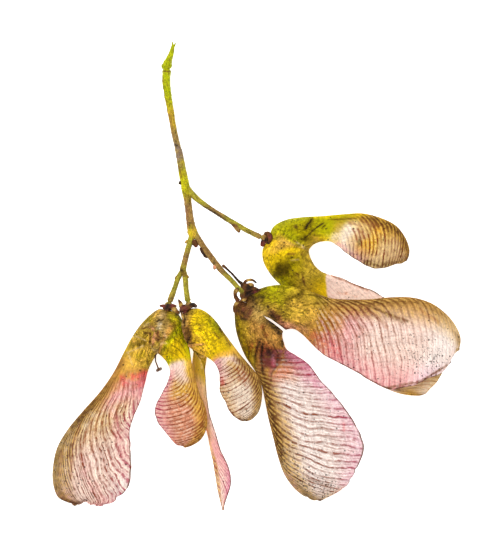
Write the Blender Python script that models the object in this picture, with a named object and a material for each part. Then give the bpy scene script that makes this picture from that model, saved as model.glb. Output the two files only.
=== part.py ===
"""A picked cluster of four maple samaras on their branched stalk, lying on a flat surface.

Lengths below are in millimetres and MM turns them into metres. +X is to the right, +Y runs towards
the cut end of the stalk, and +Z is up from the surface at z = 0. The origin is on that surface,
under the middle of the cluster. Each samara is a pair of winged halves that meet at a seam.
"""
import math

import bmesh
import bpy
import numpy as np

MM = 0.001
GAP = 0.3                 # clearance left between pieces that touch on the real thing

NUT_HALF = 2.4            # half thickness of a nutlet at its fattest
SEAM_SHARE = 0.9          # a nutlet's thickness at the seam, as a share of its fattest
BLADE_HALF = 0.33         # half thickness of a wing's blade
RIB_RADIUS = 0.55         # radius of the thick rib along a wing's back edge
RIB_FULL_WIDTH = 6.0      # blade width from which the rib has its full radius
NUT_FALL = 2.6            # stations over which a nutlet thins out into its wing
NUT_POWER = 0.5           # section power of a nutlet, an ellipse
BLADE_POWER = 0.12        # section power of a blade, nearly a flat plate
SEAM_TURN = 1.5           # stations over which a half turns from its seam to its own direction
WAVE_PER_STATION = 1.9    # radians of edge wave from one station to the next

SECTION_STEPS = 10        # intervals across a section, on each face
STATION_STEPS = 2         # sections from one station to the next
TUBE_STEPS = 3            # points on a stalk from one route point to the next
SHARP_DEGREES = 50        # edges that bend more than this are shaded sharp

CALYX_STEPS = 24          # corners round a calyx's rim
CALYX_LOBE = 0.22         # how far the rim's lobes stand out, as a share of its radius
CALYX_HALF = 0.36         # half thickness of a calyx at its hub

GOLD = (0.62, 0.45, 0.09)
ROSE = (0.78, 0.50, 0.40)
CREAM = (0.82, 0.66, 0.46)
PALE = (0.80, 0.62, 0.50)
STALK_GREEN = (0.42, 0.38, 0.08)
DARK_BROWN = (0.10, 0.05, 0.035)


def clear_scene():
    """Remove every object of the scene."""
    for item in list(bpy.data.objects):
        bpy.data.objects.remove(item, do_unlink=True)


def material(name, colour, roughness=0.7):
    """A Principled material of one colour."""
    made = bpy.data.materials.new(name)
    made.use_nodes = True
    shader = made.node_tree.nodes["Principled BSDF"]
    shader.inputs["Base Color"].default_value = (*colour, 1.0)
    shader.inputs["Roughness"].default_value = roughness
    shader.inputs["Metallic"].default_value = 0.0
    return made


def unit(vectors):
    """The given vector or rows of vectors, each at length one."""
    vectors = np.asarray(vectors, dtype=float)
    return vectors / np.linalg.norm(vectors, axis=-1, keepdims=True)


def ramp(values):
    """A smooth rise from 0 to 1 while the values go from 0 to 1."""
    inside = np.clip(values, 0.0, 1.0)
    return inside * inside * (3.0 - 2.0 * inside)


def smooth_route(points, steps):
    """Points on a Catmull-Rom curve through the given points, with so many steps between two."""
    given = np.asarray(points, dtype=float)
    padded = np.vstack([2 * given[0] - given[1], given, 2 * given[-1] - given[-2]])
    place = np.linspace(0.0, len(given) - 1.0, (len(given) - 1) * steps + 1)
    span = np.minimum(place.astype(int), len(given) - 2)
    f = (place - span)[:, None]
    a, b, c, d = (padded[span + k] for k in range(4))
    return 0.5 * (2 * b + (c - a) * f + (2 * a - 5 * b + 4 * c - d) * f ** 2
                  + (3 * b - a - 3 * c + d) * f ** 3)


def add_object(name, points, faces, skin, group):
    """A mesh object from points in millimetres, with its faces turned outwards."""
    mesh = bpy.data.meshes.new(name)
    mesh.from_pydata((np.asarray(points) * MM).tolist(), [], faces)
    shaped = bmesh.new()
    shaped.from_mesh(mesh)
    bmesh.ops.recalc_face_normals(shaped, faces=shaped.faces)
    shaped.to_mesh(mesh)
    shaped.free()
    mesh.materials.append(skin)
    mesh.shade_smooth()
    mesh.set_sharp_from_angle(angle=math.radians(SHARP_DEGREES))
    made = bpy.data.objects.new(name, mesh)
    group.objects.link(made)
    return made


def section_faces(rings, half):
    """Triangles of a closed loft whose rings run over one face and back under the other.

    Both faces are split along the same diagonal, so a waved blade's faces stay side by side.
    Vertex j of a ring is on the upper face for j up to half, and 2 * half - j is below it.
    """
    def upper(ring, j):
        return ring * 2 * half + j

    def lower(ring, j):
        return ring * 2 * half + (2 * half - j) % (2 * half)

    faces = []
    for i in range(rings - 1):
        for j in range(half):
            faces.append((upper(i, j), upper(i, j + 1), upper(i + 1, j + 1)))
            faces.append((upper(i, j), upper(i + 1, j + 1), upper(i + 1, j)))
            faces.append((lower(i, j), lower(i + 1, j + 1), lower(i, j + 1)))
            faces.append((lower(i, j), lower(i + 1, j), lower(i + 1, j + 1)))
    for i in (0, rings - 1):
        faces.append((upper(i, 0), upper(i, 1), lower(i, 1)))
        faces.append((upper(i, half - 1), upper(i, half), lower(i, half - 1)))
        for j in range(1, half - 1):
            faces.append((upper(i, j), upper(i, j + 1), lower(i, j + 1)))
            faces.append((upper(i, j), lower(i, j + 1), lower(i, j)))
    return faces


def seam_start(seam, up, towards):
    """The seam's two ends, moved half a gap towards a half, and the seam's thickness direction."""
    ends = np.asarray(seam, dtype=float)
    run = unit(ends[1] - ends[0])
    across = unit(np.cross(run, up))
    across = across * np.sign(np.dot(towards - ends.mean(axis=0), across))
    return ends + across * GAP / 2, unit(np.cross(across, run))


def winged_half(name, seam, up, stations, nut_end, skin, group, nut=NUT_HALF, camber=0.3, wave=0.3):
    """One winged half: a nutlet from the seam on, thinning out into a ribbed blade.

    Each station is a point on the rib, the thick back edge, and a point on the thin front edge.
    A section between them has half thickness H * (4 c (1 - c)) ** power, where c goes from 0 at
    the rib to 1 at the thin edge, joined with a round bead along the rib.
    """
    first, thickness_way = seam_start(seam, up, np.mean(stations[1], axis=0))
    rib = smooth_route([first[0]] + [s[0] for s in stations], STATION_STEPS)
    edge = smooth_route([first[1]] + [s[1] for s in stations], STATION_STEPS)
    station = np.linspace(0.0, len(stations), len(rib))[:, None]

    width = np.linalg.norm(edge - rib, axis=1, keepdims=True)
    face_way = unit(np.cross(np.gradient((rib + edge) / 2, axis=0), edge - rib))
    thickness_way = thickness_way * np.sign(np.dot(thickness_way, face_way[1]))
    turned = ramp(station / SEAM_TURN)
    face_way = unit((1 - turned) * thickness_way + turned * face_way)

    c = (1 - np.cos(np.pi * np.linspace(0.0, 1.0, SECTION_STEPS + 1)))[None, :] / 2
    fat = 1 - ramp((station - nut_end + NUT_FALL) / NUT_FALL)
    swell = SEAM_SHARE + (1 - SEAM_SHARE) * ramp(station)
    high = BLADE_HALF + (nut * swell - BLADE_HALF) * fat
    power = BLADE_POWER + (NUT_POWER - BLADE_POWER) * fat
    plate = high * np.maximum(4 * c * (1 - c), 0.0) ** power
    bead_radius = RIB_RADIUS * np.minimum(1.0, width / RIB_FULL_WIDTH)
    bead = np.sqrt(np.maximum(bead_radius ** 2 - (c * width - bead_radius) ** 2, 0.0)) * (1 - fat)
    half_thick = np.hypot(plate, bead)
    bend = (camber * 4 * c * (1 - c) + wave * c ** 2 * np.sin(WAVE_PER_STATION * station)) * (1 - fat)

    middle = rib[:, None, :] + c[:, :, None] * (edge - rib)[:, None, :]
    middle = middle + bend[:, :, None] * face_way[:, None, :]
    offset = half_thick[:, :, None] * face_way[:, None, :]
    above = middle + offset
    below = (middle - offset)[:, -2:0:-1]
    rings = np.concatenate([above, below], axis=1)
    rings[:, :, 2] = np.maximum(rings[:, :, 2], 0.0)
    faces = section_faces(len(rib), SECTION_STEPS)
    return add_object(name, rings.reshape(-1, 3), faces, skin, group)


def upper_samara(skin, group):
    """The samara at the upper right: a curled half, and one whose wing runs under its neighbour."""
    seam = ((2.3, 7.3, 2.7), (9.9, 4.7, 2.6))
    up = (0, 0, 1)
    winged_half("upper_samara_top", seam, up, [
        ((3.2, 9.4, 2.7), (10.1, 5.2, 2.6)),
        ((5.6, 10.7, 2.7), (10.9, 6.0, 2.6)),
        ((8.8, 11.2, 2.8), (12.3, 6.5, 2.7)),
        ((12.5, 11.4, 3.0), (14.2, 6.5, 2.8)),
        ((16.5, 11.75, 3.4), (15.8, 5.4, 2.7)),
        ((20.0, 11.9, 3.8), (17.6, 4.0, 2.5)),
        ((23.3, 11.1, 4.0), (19.6, 2.7, 2.2)),
        ((26.2, 9.7, 3.9), (21.3, 1.7, 1.9)),
        ((28.0, 7.6, 3.5), (23.5, 1.5, 1.6)),
        ((28.9, 5.4, 2.9), (25.3, 1.85, 1.5)),
        ((28.9, 3.9, 2.3), (26.8, 2.3, 1.6)),
        ((28.5, 2.9, 2.0), (27.7, 2.5, 1.8)),
    ], 4.9, skin, group)
    winged_half("upper_samara_under", seam, up, [
        ((1.1, 5.0, 2.3), (10.0, 4.1, 2.4)),
        ((1.3, 2.6, 2.2), (10.4, 3.1, 2.3)),
        ((2.7, 0.2, 2.1), (11.2, 1.8, 2.2)),
        ((4.8, -2.0, 1.9), (12.5, 0.75, 2.0)),
        ((7.6, -4.6, 1.5), (14.2, 0.2, 1.7)),
        ((10.6, -7.6, 1.0), (17.2, -0.9, 1.3)),
        ((14.2, -11.4, 0.8), (21.0, -2.4, 1.0)),
        ((18.0, -15.3, 0.7), (26.0, -5.0, 0.9)),
        ((21.6, -18.8, 0.6), (31.0, -9.0, 0.9)),
        ((24.4, -21.2, 0.55), (34.4, -13.6, 0.9)),
        ((26.6, -22.2, 0.5), (35.6, -17.2, 0.8)),
        ((28.8, -22.65, 0.45), (34.4, -19.7, 0.7)),
        ((30.6, -22.75, 0.45), (32.7, -21.7, 0.5)),
        ((31.2, -22.7, 0.45), (32.0, -22.4, 0.45)),
    ], 6.3, skin, group, camber=0.1, wave=0.1)


def left_samara(skin, group):
    """The samara at the left: a long flat half, and a short one that passes over its neighbour."""
    seam = ((-16.9, -6.5, 3.0), (-18.75, -14.7, 2.8))
    up = (0, 0, 1)
    winged_half("left_samara_outer", seam, up, [
        ((-18.8, -6.8, 2.6), (-19.3, -15.4, 2.5)),
        ((-21.2, -8.9, 2.3), (-20.0, -16.6, 2.3)),
        ((-23.3, -11.4, 2.1), (-20.7, -18.3, 2.1)),
        ((-25.2, -14.4, 2.0), (-21.2, -20.6, 1.9)),
        ((-27.2, -18.3, 1.9), (-21.8, -23.0, 1.7)),
        ((-29.7, -21.9, 2.1), (-22.8, -25.6, 1.6)),
        ((-32.8, -25.4, 1.9), (-23.8, -28.2, 1.3)),
        ((-35.8, -29.0, 1.6), (-23.95, -31.0, 1.1)),
        ((-37.9, -32.6, 1.3), (-23.85, -34.2, 0.9)),
        ((-38.7, -36.3, 1.0), (-23.9, -37.4, 0.7)),
        ((-38.7, -39.3, 0.7), (-24.5, -40.0, 0.55)),
        ((-37.9, -41.8, 0.5), (-25.8, -42.0, 0.5)),
        ((-36.0, -42.8, 0.4), (-27.6, -43.1, 0.45)),
        ((-34.3, -43.1, 0.4), (-29.3, -43.3, 0.4)),
        ((-32.8, -42.8, 0.4), (-31.3, -42.8, 0.4)),
    ], 5.0, skin, group)
    winged_half("left_samara_inner", seam, up, [
        ((-15.2, -6.9, 3.0), (-18.2, -15.1, 2.8)),
        ((-14.0, -8.6, 3.0), (-17.6, -15.7, 2.9)),
        ((-13.3, -10.8, 3.2), (-17.0, -16.4, 3.2)),
        ((-12.8, -13.6, 3.7), (-16.5, -17.4, 3.7)),
        ((-12.3, -16.4, 4.4), (-16.4, -18.7, 4.2)),
        ((-11.7, -19.0, 5.0), (-16.9, -20.5, 4.5)),
        ((-10.9, -22.0, 5.4), (-18.0, -22.3, 4.5)),
        ((-9.8, -24.6, 5.4), (-19.0, -24.0, 4.2)),
        ((-9.35, -27.0, 5.1), (-19.2, -26.0, 3.8)),
        ((-9.6, -29.2, 4.7), (-18.6, -28.0, 3.4)),
        ((-10.6, -31.0, 4.1), (-17.3, -29.6, 3.1)),
        ((-12.2, -32.1, 3.5), (-16.0, -31.1, 2.9)),
        ((-13.6, -32.55, 3.0), (-14.9, -32.1, 2.8)),
    ], 5.0, skin, group)


def middle_samara(skin, group):
    """The middle samara: one half above the other, whose wing stands nearly on its rib."""
    seam = ((-12.2, -6.6, 4.6), (-11.2, -13.9, 4.2))
    up = (0.85, 0, -0.53)
    winged_half("middle_samara_front", seam, up, [
        ((-11.2, -6.5, 5.6), (-10.9, -14.4, 5.0)),
        ((-9.6, -7.3, 6.3), (-10.4, -14.8, 5.5)),
        ((-7.9, -8.9, 6.6), (-9.9, -15.1, 5.8)),
        ((-6.4, -10.9, 6.6), (-9.3, -15.4, 5.9)),
        ((-4.8, -13.1, 6.3), (-8.5, -15.9, 5.7)),
        ((-3.2, -15.3, 5.8), (-7.7, -16.8, 5.1)),
        ((-1.6, -17.2, 5.3), (-7.2, -18.3, 4.5)),
        ((-0.1, -19.1, 4.8), (-7.0, -20.2, 4.0)),
        ((0.6, -21.4, 4.4), (-6.8, -22.0, 3.6)),
        ((0.85, -23.6, 4.0), (-6.1, -24.0, 3.3)),
        ((0.4, -25.7, 3.6), (-5.0, -26.0, 3.1)),
        ((-0.8, -27.1, 3.3), (-3.7, -27.1, 3.0)),
        ((-1.9, -27.55, 3.1), (-2.7, -27.55, 3.0)),
    ], 5.6, skin, group)
    winged_half("middle_samara_back", seam, up, [
        ((-11.8, -6.9, 3.1), (-10.9, -14.3, 3.1)),
        ((-11.7, -8.5, 1.9), (-10.6, -14.9, 2.6)),
        ((-11.6, -10.7, 1.2), (-10.1, -15.6, 2.6)),
        ((-11.7, -13.3, 1.0), (-9.8, -16.7, 2.8)),
        ((-12.1, -16.1, 0.9), (-9.8, -18.3, 3.2)),
        ((-12.1, -19.2, 0.7), (-9.7, -20.5, 3.3)),
        ((-11.2, -22.6, 0.45), (-9.3, -23.2, 3.6)),
        ((-10.2, -26.0, 0.25), (-8.9, -26.2, 4.4)),
        ((-9.1, -29.4, 0.05), (-8.1, -29.4, 5.4)),
        ((-8.4, -32.8, 0.0), (-7.0, -32.6, 6.3)),
        ((-7.85, -36.0, 0.0), (-5.3, -35.9, 6.8)),
        ((-7.3, -39.0, 0.3), (-5.0, -38.7, 6.5)),
        ((-6.9, -41.6, 0.8), (-5.5, -41.3, 5.4)),
        ((-6.55, -43.4, 1.6), (-5.95, -43.2, 4.3)),
        ((-6.3, -44.4, 2.5), (-6.2, -44.4, 3.2)),
    ], 5.2, skin, group, nut=1.7, camber=0.2, wave=0.15)


def right_samara(skin, group):
    """The samara at the right, whose two halves have begun to part towards the notch."""
    start = (-2.6, -4.7, 5.3)
    side_seam = (start, (5.4, -10.15, 4.2))
    low_seam = (start, (5.05, -10.45, 4.2))
    up = (0, 0, 1)
    winged_half("right_samara_side", side_seam, up, [
        ((-1.0, -3.4, 5.9), (5.8, -10.1, 4.0)),
        ((1.4, -2.15, 6.3), (6.6, -9.95, 3.8)),
        ((4.4, -1.75, 6.5), (7.6, -10.2, 3.6)),
        ((7.6, -2.25, 6.5), (8.9, -11.2, 3.4)),
        ((10.8, -3.2, 6.3), (10.6, -13.0, 3.1)),
        ((14.0, -4.2, 6.0), (12.8, -14.9, 2.8)),
        ((17.6, -4.45, 5.6), (15.6, -16.55, 2.7)),
        ((21.4, -4.4, 5.2), (18.8, -18.3, 2.6)),
        ((25.4, -4.0, 4.9), (22.0, -20.0, 2.6)),
        ((29.4, -4.05, 4.6), (25.0, -21.4, 2.6)),
        ((32.8, -5.0, 4.2), (27.8, -21.1, 2.6)),
        ((35.4, -6.7, 3.9), (30.2, -20.5, 2.6)),
        ((37.4, -8.9, 3.5), (32.4, -19.4, 2.7)),
        ((38.6, -11.4, 3.2), (34.6, -18.7, 2.7)),
        ((38.5, -13.4, 3.0), (36.0, -17.4, 2.8)),
        ((37.6, -14.7, 2.9), (36.7, -15.8, 2.8)),
    ], 6.4, skin, group)
    winged_half("right_samara_low", low_seam, up, [
        ((-4.1, -5.6, 4.6), (4.9, -10.8, 3.7)),
        ((-4.2, -7.7, 3.9), (4.9, -11.7, 3.3)),
        ((-3.7, -10.2, 3.2), (5.2, -12.7, 3.1)),
        ((-2.9, -12.8, 2.7), (5.7, -13.9, 3.0)),
        ((-1.8, -15.4, 2.6), (7.4, -15.0, 3.1)),
        ((-0.4, -17.9, 2.6), (9.9, -16.8, 2.9)),
        ((0.8, -20.4, 2.5), (12.0, -19.5, 2.7)),
        ((1.5, -23.4, 2.3), (14.3, -22.0, 2.4)),
        ((2.2, -27.0, 2.0), (16.8, -25.2, 2.1)),
        ((3.1, -30.6, 1.7), (18.9, -28.4, 1.7)),
        ((4.0, -34.2, 1.3), (20.3, -32.0, 1.3)),
        ((5.1, -37.4, 0.9), (19.6, -35.2, 1.0)),
        ((6.9, -40.1, 0.6), (18.6, -37.6, 0.7)),
        ((9.1, -41.9, 0.45), (17.2, -39.8, 0.5)),
        ((11.0, -42.7, 0.4), (15.0, -41.3, 0.4)),
        ((12.0, -42.8, 0.4), (13.2, -42.2, 0.4)),
    ], 6.3, skin, group)


def tube(name, route, skin, group):
    """A round tube through points (x, y, z, radius), smoothly joined, as a closed mesh."""
    smooth = smooth_route(route, TUBE_STEPS)
    curve = bpy.data.curves.new(name, "CURVE")
    curve.dimensions = "3D"
    curve.bevel_depth = MM
    curve.bevel_resolution = 2
    curve.use_fill_caps = True
    line = curve.splines.new("POLY")
    line.points.add(len(smooth) - 1)
    for point, (x, y, z, radius) in zip(line.points, smooth):
        point.co = (x * MM, y * MM, max(z, radius) * MM, 1.0)
        point.radius = radius
    bent = bpy.data.objects.new(name, curve)
    group.objects.link(bent)
    bpy.context.view_layer.update()
    mesh = bpy.data.meshes.new_from_object(bent.evaluated_get(bpy.context.evaluated_depsgraph_get()))
    bpy.data.objects.remove(bent, do_unlink=True)
    welded = bmesh.new()
    welded.from_mesh(mesh)
    bmesh.ops.remove_doubles(welded, verts=welded.verts, dist=GAP * MM / 100)
    welded.to_mesh(mesh)
    welded.free()
    mesh.materials.clear()
    mesh.materials.append(skin)
    made = bpy.data.objects.new(name, mesh)
    group.objects.link(made)
    return made


def pebble(name, centre, radii, skin, group):
    """A small rounded lump: a sphere stretched to three radii."""
    mesh = bpy.data.meshes.new(name)
    lump = bmesh.new()
    bmesh.ops.create_icosphere(lump, subdivisions=2, radius=MM)
    for corner in lump.verts:
        for axis in range(3):
            corner.co[axis] = corner.co[axis] * radii[axis] + centre[axis] * MM
    lump.to_mesh(mesh)
    lump.free()
    mesh.materials.append(skin)
    made = bpy.data.objects.new(name, mesh)
    group.objects.link(made)
    return made


def fused(name, pieces, skin, group):
    """One solid from several that run into each other."""
    others = bpy.data.collections.new(name + "_pieces")
    bpy.context.scene.collection.children.link(others)
    base = pieces[0]
    for piece in pieces[1:]:
        group.objects.unlink(piece)
        others.objects.link(piece)
    union = base.modifiers.new("union", "BOOLEAN")
    union.operation = "UNION"
    union.operand_type = "COLLECTION"
    union.collection = others
    union.solver = "MANIFOLD"
    bpy.context.view_layer.update()
    mesh = bpy.data.meshes.new_from_object(base.evaluated_get(bpy.context.evaluated_depsgraph_get()))
    for piece in pieces:
        bpy.data.objects.remove(piece, do_unlink=True)
    bpy.data.collections.remove(others)
    mesh.materials.clear()
    mesh.materials.append(skin)
    mesh.shade_smooth()
    mesh.set_sharp_from_angle(angle=math.radians(SHARP_DEGREES))
    made = bpy.data.objects.new(name, mesh)
    group.objects.link(made)
    return made


def stalk(skin, group):
    """The stalk with its node ring and torn stub, its forks, four pedicels, buds and bracts."""
    stub = [(-15.75, 44.2, 0.8, 0.3), (-16.1, 42.7, 0.9, 0.42), (-16.6, 41.3, 1.0, 0.55),
            (-17.0, 39.6, 1.15, 0.7)]
    ring = [(-16.95, 40.2, 1.15, 1.0), (-17.0, 39.6, 1.15, 1.12), (-17.05, 39.0, 1.15, 1.1)]
    main = [(-17.0, 39.5, 1.15, 0.95), (-17.2, 37.2, 1.1, 0.78), (-16.9, 34.4, 1.0, 0.64),
            (-16.2, 30.4, 1.0, 0.57), (-15.4, 26.2, 1.2, 0.58), (-14.4, 21.2, 1.6, 0.66),
            (-13.6, 17.2, 2.0, 0.76), (-13.1, 14.4, 2.3, 0.68), (-12.7, 11.2, 2.6, 0.68),
            (-12.2, 8.3, 2.8, 0.85), (-12.0, 6.9, 2.8, 0.6)]
    to_upper = [(-13.3, 16.6, 2.1, 0.5), (-12.0, 15.3, 2.2, 0.55), (-10.4, 13.9, 2.3, 0.5),
                (-8.0, 12.3, 2.4, 0.46), (-4.7, 10.3, 2.5, 0.5), (-2.2, 8.85, 2.6, 0.46),
                (0.7, 7.4, 2.7, 0.5)]
    to_fork = [(-12.1, 8.0, 2.8, 0.6), (-12.9, 5.6, 2.8, 0.56), (-13.5, 3.4, 2.9, 0.55),
               (-14.0, 1.2, 3.0, 0.6), (-14.1, 0.4, 3.1, 0.55)]
    to_left = [(-13.9, 1.4, 3.0, 0.45), (-14.8, -0.2, 3.1, 0.5), (-15.6, -2.4, 3.2, 0.48),
               (-16.55, -5.0, 3.1, 0.6)]
    to_middle = [(-13.9, 1.4, 3.0, 0.45), (-13.55, -0.4, 3.4, 0.5), (-13.4, -2.4, 3.9, 0.48),
                 (-13.0, -4.85, 4.6, 0.56)]
    to_right = [(-12.0, 8.6, 2.8, 0.55), (-11.0, 6.9, 2.9, 0.56), (-9.2, 4.3, 3.3, 0.55),
                (-7.0, 1.5, 4.0, 0.52), (-5.2, -0.5, 4.6, 0.45), (-3.5, -2.75, 5.1, 0.45)]
    branches = [main, stub, ring, to_upper, to_fork, to_left, to_middle, to_right]
    small = [
        [(-14.2, 17.9, 2.0, 0.3), (-14.75, 17.6, 2.1, 0.32)],
        [(-4.4, 9.9, 2.5, 0.5), (-3.9, 9.1, 2.5, 0.42), (-3.5, 8.4, 2.5, 0.25)],
        [(-13.0, 6.6, 2.8, 0.3), (-13.55, 6.4, 2.8, 0.25)],
        [(-12.1, 6.7, 2.8, 0.4), (-11.4, 5.6, 2.7, 0.3)],
        [(-10.3, 5.4, 3.1, 0.35), (-10.1, 4.6, 3.0, 0.42), (-9.5, 3.7, 2.9, 0.34)],
        [(-7.6, 2.2, 3.8, 0.45), (-8.0, 1.4, 3.7, 0.3)],
        [(-14.9, -0.2, 3.1, 0.4), (-15.4, -0.6, 3.1, 0.25)],
        [(-13.5, -0.1, 3.4, 0.4), (-13.0, -0.3, 3.4, 0.25)],
    ]
    tubes = [tube("stalk_piece", route, skin, group) for route in branches + small]
    return fused("stalk", tubes, skin, group)


def calyx(name, centre, axis, radius, lobes, skin, group):
    """The dried collar between a pedicel and its samara: a dished disc with a lobed rim.

    The disc's outline is radius * (1 + CALYX_LOBE * cos(lobes * angle)), and the lobes curl back
    by a share of it along the axis, which points from the pedicel to the samara.
    """
    axis = unit(axis)
    side = unit(np.cross(axis, (0.0, 0.0, 1.0)))
    rise = np.cross(side, axis)
    around = CALYX_STEPS
    angle = np.linspace(0.0, 2 * np.pi, around, endpoint=False)
    rim = radius * (1 + CALYX_LOBE * np.cos(lobes * angle))
    profile = ((0.45, 0.0, CALYX_HALF), (0.85, -0.1, 0.34), (1.0, -0.25, 0.12))
    points = []
    for sign in (1, -1):
        for share, back, thick in profile:
            along = back * radius + sign * thick
            spread = rim * share
            points.append(np.asarray(centre) + along * axis + np.outer(spread * np.cos(angle), side)
                          + np.outer(spread * np.sin(angle), rise))
    hub = [np.asarray(centre) + sign * CALYX_HALF * axis for sign in (1, -1)]
    rows = len(profile)
    flat = np.vstack(points + hub)
    faces = []
    for k in range(around):
        after = (k + 1) % around
        for sheet in (0, rows):
            for row in range(rows - 1):
                a = (sheet + row) * around
                faces.append((a + k, a + after, a + around + after, a + around + k))
        faces.append((2 * rows * around, k, after))
        faces.append((2 * rows * around + 1, rows * around + k, rows * around + after))
        top = (rows - 1) * around
        bottom = (2 * rows - 1) * around
        faces.append((top + k, top + after, bottom + after, bottom + k))
    return add_object(name, flat, faces, skin, group)


def withered_flower(skin, group):
    """The flower that never set: a thin dark pedicel, a shrunken head and two curled sepals."""
    pedicel = [(-6.0, 2.0, 4.6, 0.3), (-4.9, 0.7, 5.6, 0.27), (-3.6, -0.6, 6.6, 0.28),
               (-2.4, -1.5, 7.3, 0.4)]
    curled = [(-1.8, -1.6, 7.4, 0.4), (-1.5, -1.0, 7.5, 0.34), (-0.7, -0.9, 7.5, 0.32),
              (-0.2, -1.3, 7.3, 0.3)]
    straight = [(-1.5, -1.9, 7.4, 0.45), (-0.6, -2.1, 7.4, 0.33), (0.1, -2.4, 7.4, 0.28)]
    pieces = [tube("flower_piece", route, skin, group) for route in (pedicel, curled, straight)]
    pieces.append(pebble("flower_head", (-1.7, -1.8, 7.4), (0.95, 0.75, 0.7), skin, group))
    return fused("withered_flower", pieces, skin, group)


def style_remnant(skin, group):
    """The dried style at the left samara's notch: a thread with a two-lobed end."""
    thread = [(-18.85, -15.6, 3.2, 0.28), (-19.05, -16.5, 3.2, 0.28), (-18.75, -17.5, 3.1, 0.3)]
    lobe = [(-18.95, -17.75, 3.1, 0.28), (-18.3, -17.55, 3.1, 0.3)]
    pieces = [tube("style_piece", route, skin, group) for route in (thread, lobe)]
    return fused("style_remnant", pieces, skin, group)


def build():
    """Model every piece of the cluster in one collection."""
    clear_scene()
    group = bpy.data.collections.new("maple_samaras")
    bpy.context.scene.collection.children.link(group)
    dark = material("dried_brown", DARK_BROWN)
    stalk(material("stalk_green", STALK_GREEN), group)
    upper_samara(material("golden_wing", GOLD), group)
    left_samara(material("rose_wing", ROSE), group)
    middle_samara(material("cream_wing", CREAM), group)
    right_samara(material("pale_wing", PALE), group)
    calyx("upper_calyx", (1.4, 7.15, 2.8), (0.9, -0.35, 0.0), 1.35, 4, dark, group)
    calyx("left_calyx", (-16.75, -5.75, 3.1), (-0.2, -0.97, 0.0), 1.45, 5, dark, group)
    calyx("middle_calyx", (-12.75, -5.6, 4.7), (0.15, -0.98, 0.1), 1.45, 5, dark, group)
    calyx("right_calyx", (-3.1, -3.5, 5.1), (0.5, -0.85, 0.0), 1.35, 4, dark, group)
    withered_flower(dark, group)
    style_remnant(dark, group)


build()
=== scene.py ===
"""The looks of a picked cluster of four maple samaras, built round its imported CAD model.

Lengths in the code are millimetres, and MM turns them into Blender's metres when a mesh is made.
+X is to the right, +Y runs towards the torn end of the stalk, and +Z is up from the surface.
Each samara is a pair of winged halves. A half is one closed surface over a grid of two numbers:
the station, which counts from the seam to the wing's tip, and the share of the way from the rib,
the thick back edge, to the thin front edge. Colours and veins are stored on that surface and the
materials read them from there.
"""
from dataclasses import dataclass

import bpy
import numpy as np
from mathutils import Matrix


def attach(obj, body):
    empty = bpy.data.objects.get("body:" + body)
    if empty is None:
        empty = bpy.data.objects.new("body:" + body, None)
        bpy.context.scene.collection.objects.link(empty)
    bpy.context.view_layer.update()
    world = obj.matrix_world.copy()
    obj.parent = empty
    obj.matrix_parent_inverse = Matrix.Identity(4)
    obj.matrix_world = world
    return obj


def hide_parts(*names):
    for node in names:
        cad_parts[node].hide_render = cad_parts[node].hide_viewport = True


bl_info = {
    "name": "Maple Samaras",
    "version": (1, 0, 0),
    "blender": (4, 5, 0),
    "location": "View3D > Sidebar > Samaras",
    "description": "Builds a picked cluster of paired maple samaras with veined papery wings",
    "category": "Add Mesh",
}

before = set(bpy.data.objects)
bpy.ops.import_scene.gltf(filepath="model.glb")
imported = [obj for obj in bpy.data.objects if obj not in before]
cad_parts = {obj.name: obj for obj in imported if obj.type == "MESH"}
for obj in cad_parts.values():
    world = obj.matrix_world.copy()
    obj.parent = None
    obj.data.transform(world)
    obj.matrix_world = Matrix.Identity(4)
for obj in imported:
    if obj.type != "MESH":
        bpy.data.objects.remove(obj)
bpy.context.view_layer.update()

MM = 0.001
PHOTO_SIZE = (500, 551)                # pixels of the photograph, wide and high
MM_PER_PIXEL = 0.19                    # on the surface that the cluster lies on
PHOTO_CENTRE = (-1.27, 0.10)           # where the photograph's middle lies on that surface

# Numbers that turn a lattice corner into a chance value
CORNER_STEPS = np.array([127.1, 311.7, 74.7])
CHANCE_SPREAD = 43758.5453
SEED_SHIFT = 7.31

# How fast the rib's colour fades out across a blade, and the edge's colour comes in
RIB_FADE = 2.8
EDGE_RISE = 2.4

# Chance unevenness in layers, each with its size in millimetres and its share
VEIN_WANDER = ((4.0, 0.4), (2.0, 0.12))
MARGIN_STRAY = ((1.1, 0.6), (3.0, 1.0))
NUTLET_DIMPLES = ((1.7, 0.14), (0.7, 0.08))
STEM_BUMPS = ((0.45, 1.0), (1.2, 0.7))

# Shape of a winged half
TURN = 1.5                             # stations in which a section turns from the seam's way
THIN_OUT = 2.6                         # stations in which a nutlet thins out to the blade
NUTLET_POWER = 0.5                     # power of a section's thickness: an ellipse
BLADE_POWER = 0.12                     # the same for the blade: nearly even
BEAD_WIDTH = 6.0                       # blade width below which the rib gets thinner
PUCKER_SIZE = 2.3                      # size of the bulges between veins
WAVES = 1.9                            # how fast the thin edge waves from station to station
FIBRE_DIMPLE = 0.14                    # depth of the lengthwise furrows of a nutlet
MARGIN_POWER = 8                       # how near the thin edge its straying stays


def length(name, description, millimetres):
    """A length that a user can change."""
    return bpy.props.FloatProperty(
        name=name, description=description, default=millimetres * MM, min=0.0,
        unit="LENGTH", subtype="DISTANCE", precision=5)


def count(name, description, number):
    """A number of steps that a user can change."""
    return bpy.props.IntProperty(name=name, description=description, default=number, min=4)


def swatch(name, description, colour):
    """A colour as it looks on a screen, each part from 0 to 255."""
    return bpy.props.FloatVectorProperty(
        name=name, description=description, default=[part / 255 for part in colour],
        size=3, min=0.0, max=1.0, subtype="COLOR_GAMMA")


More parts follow.
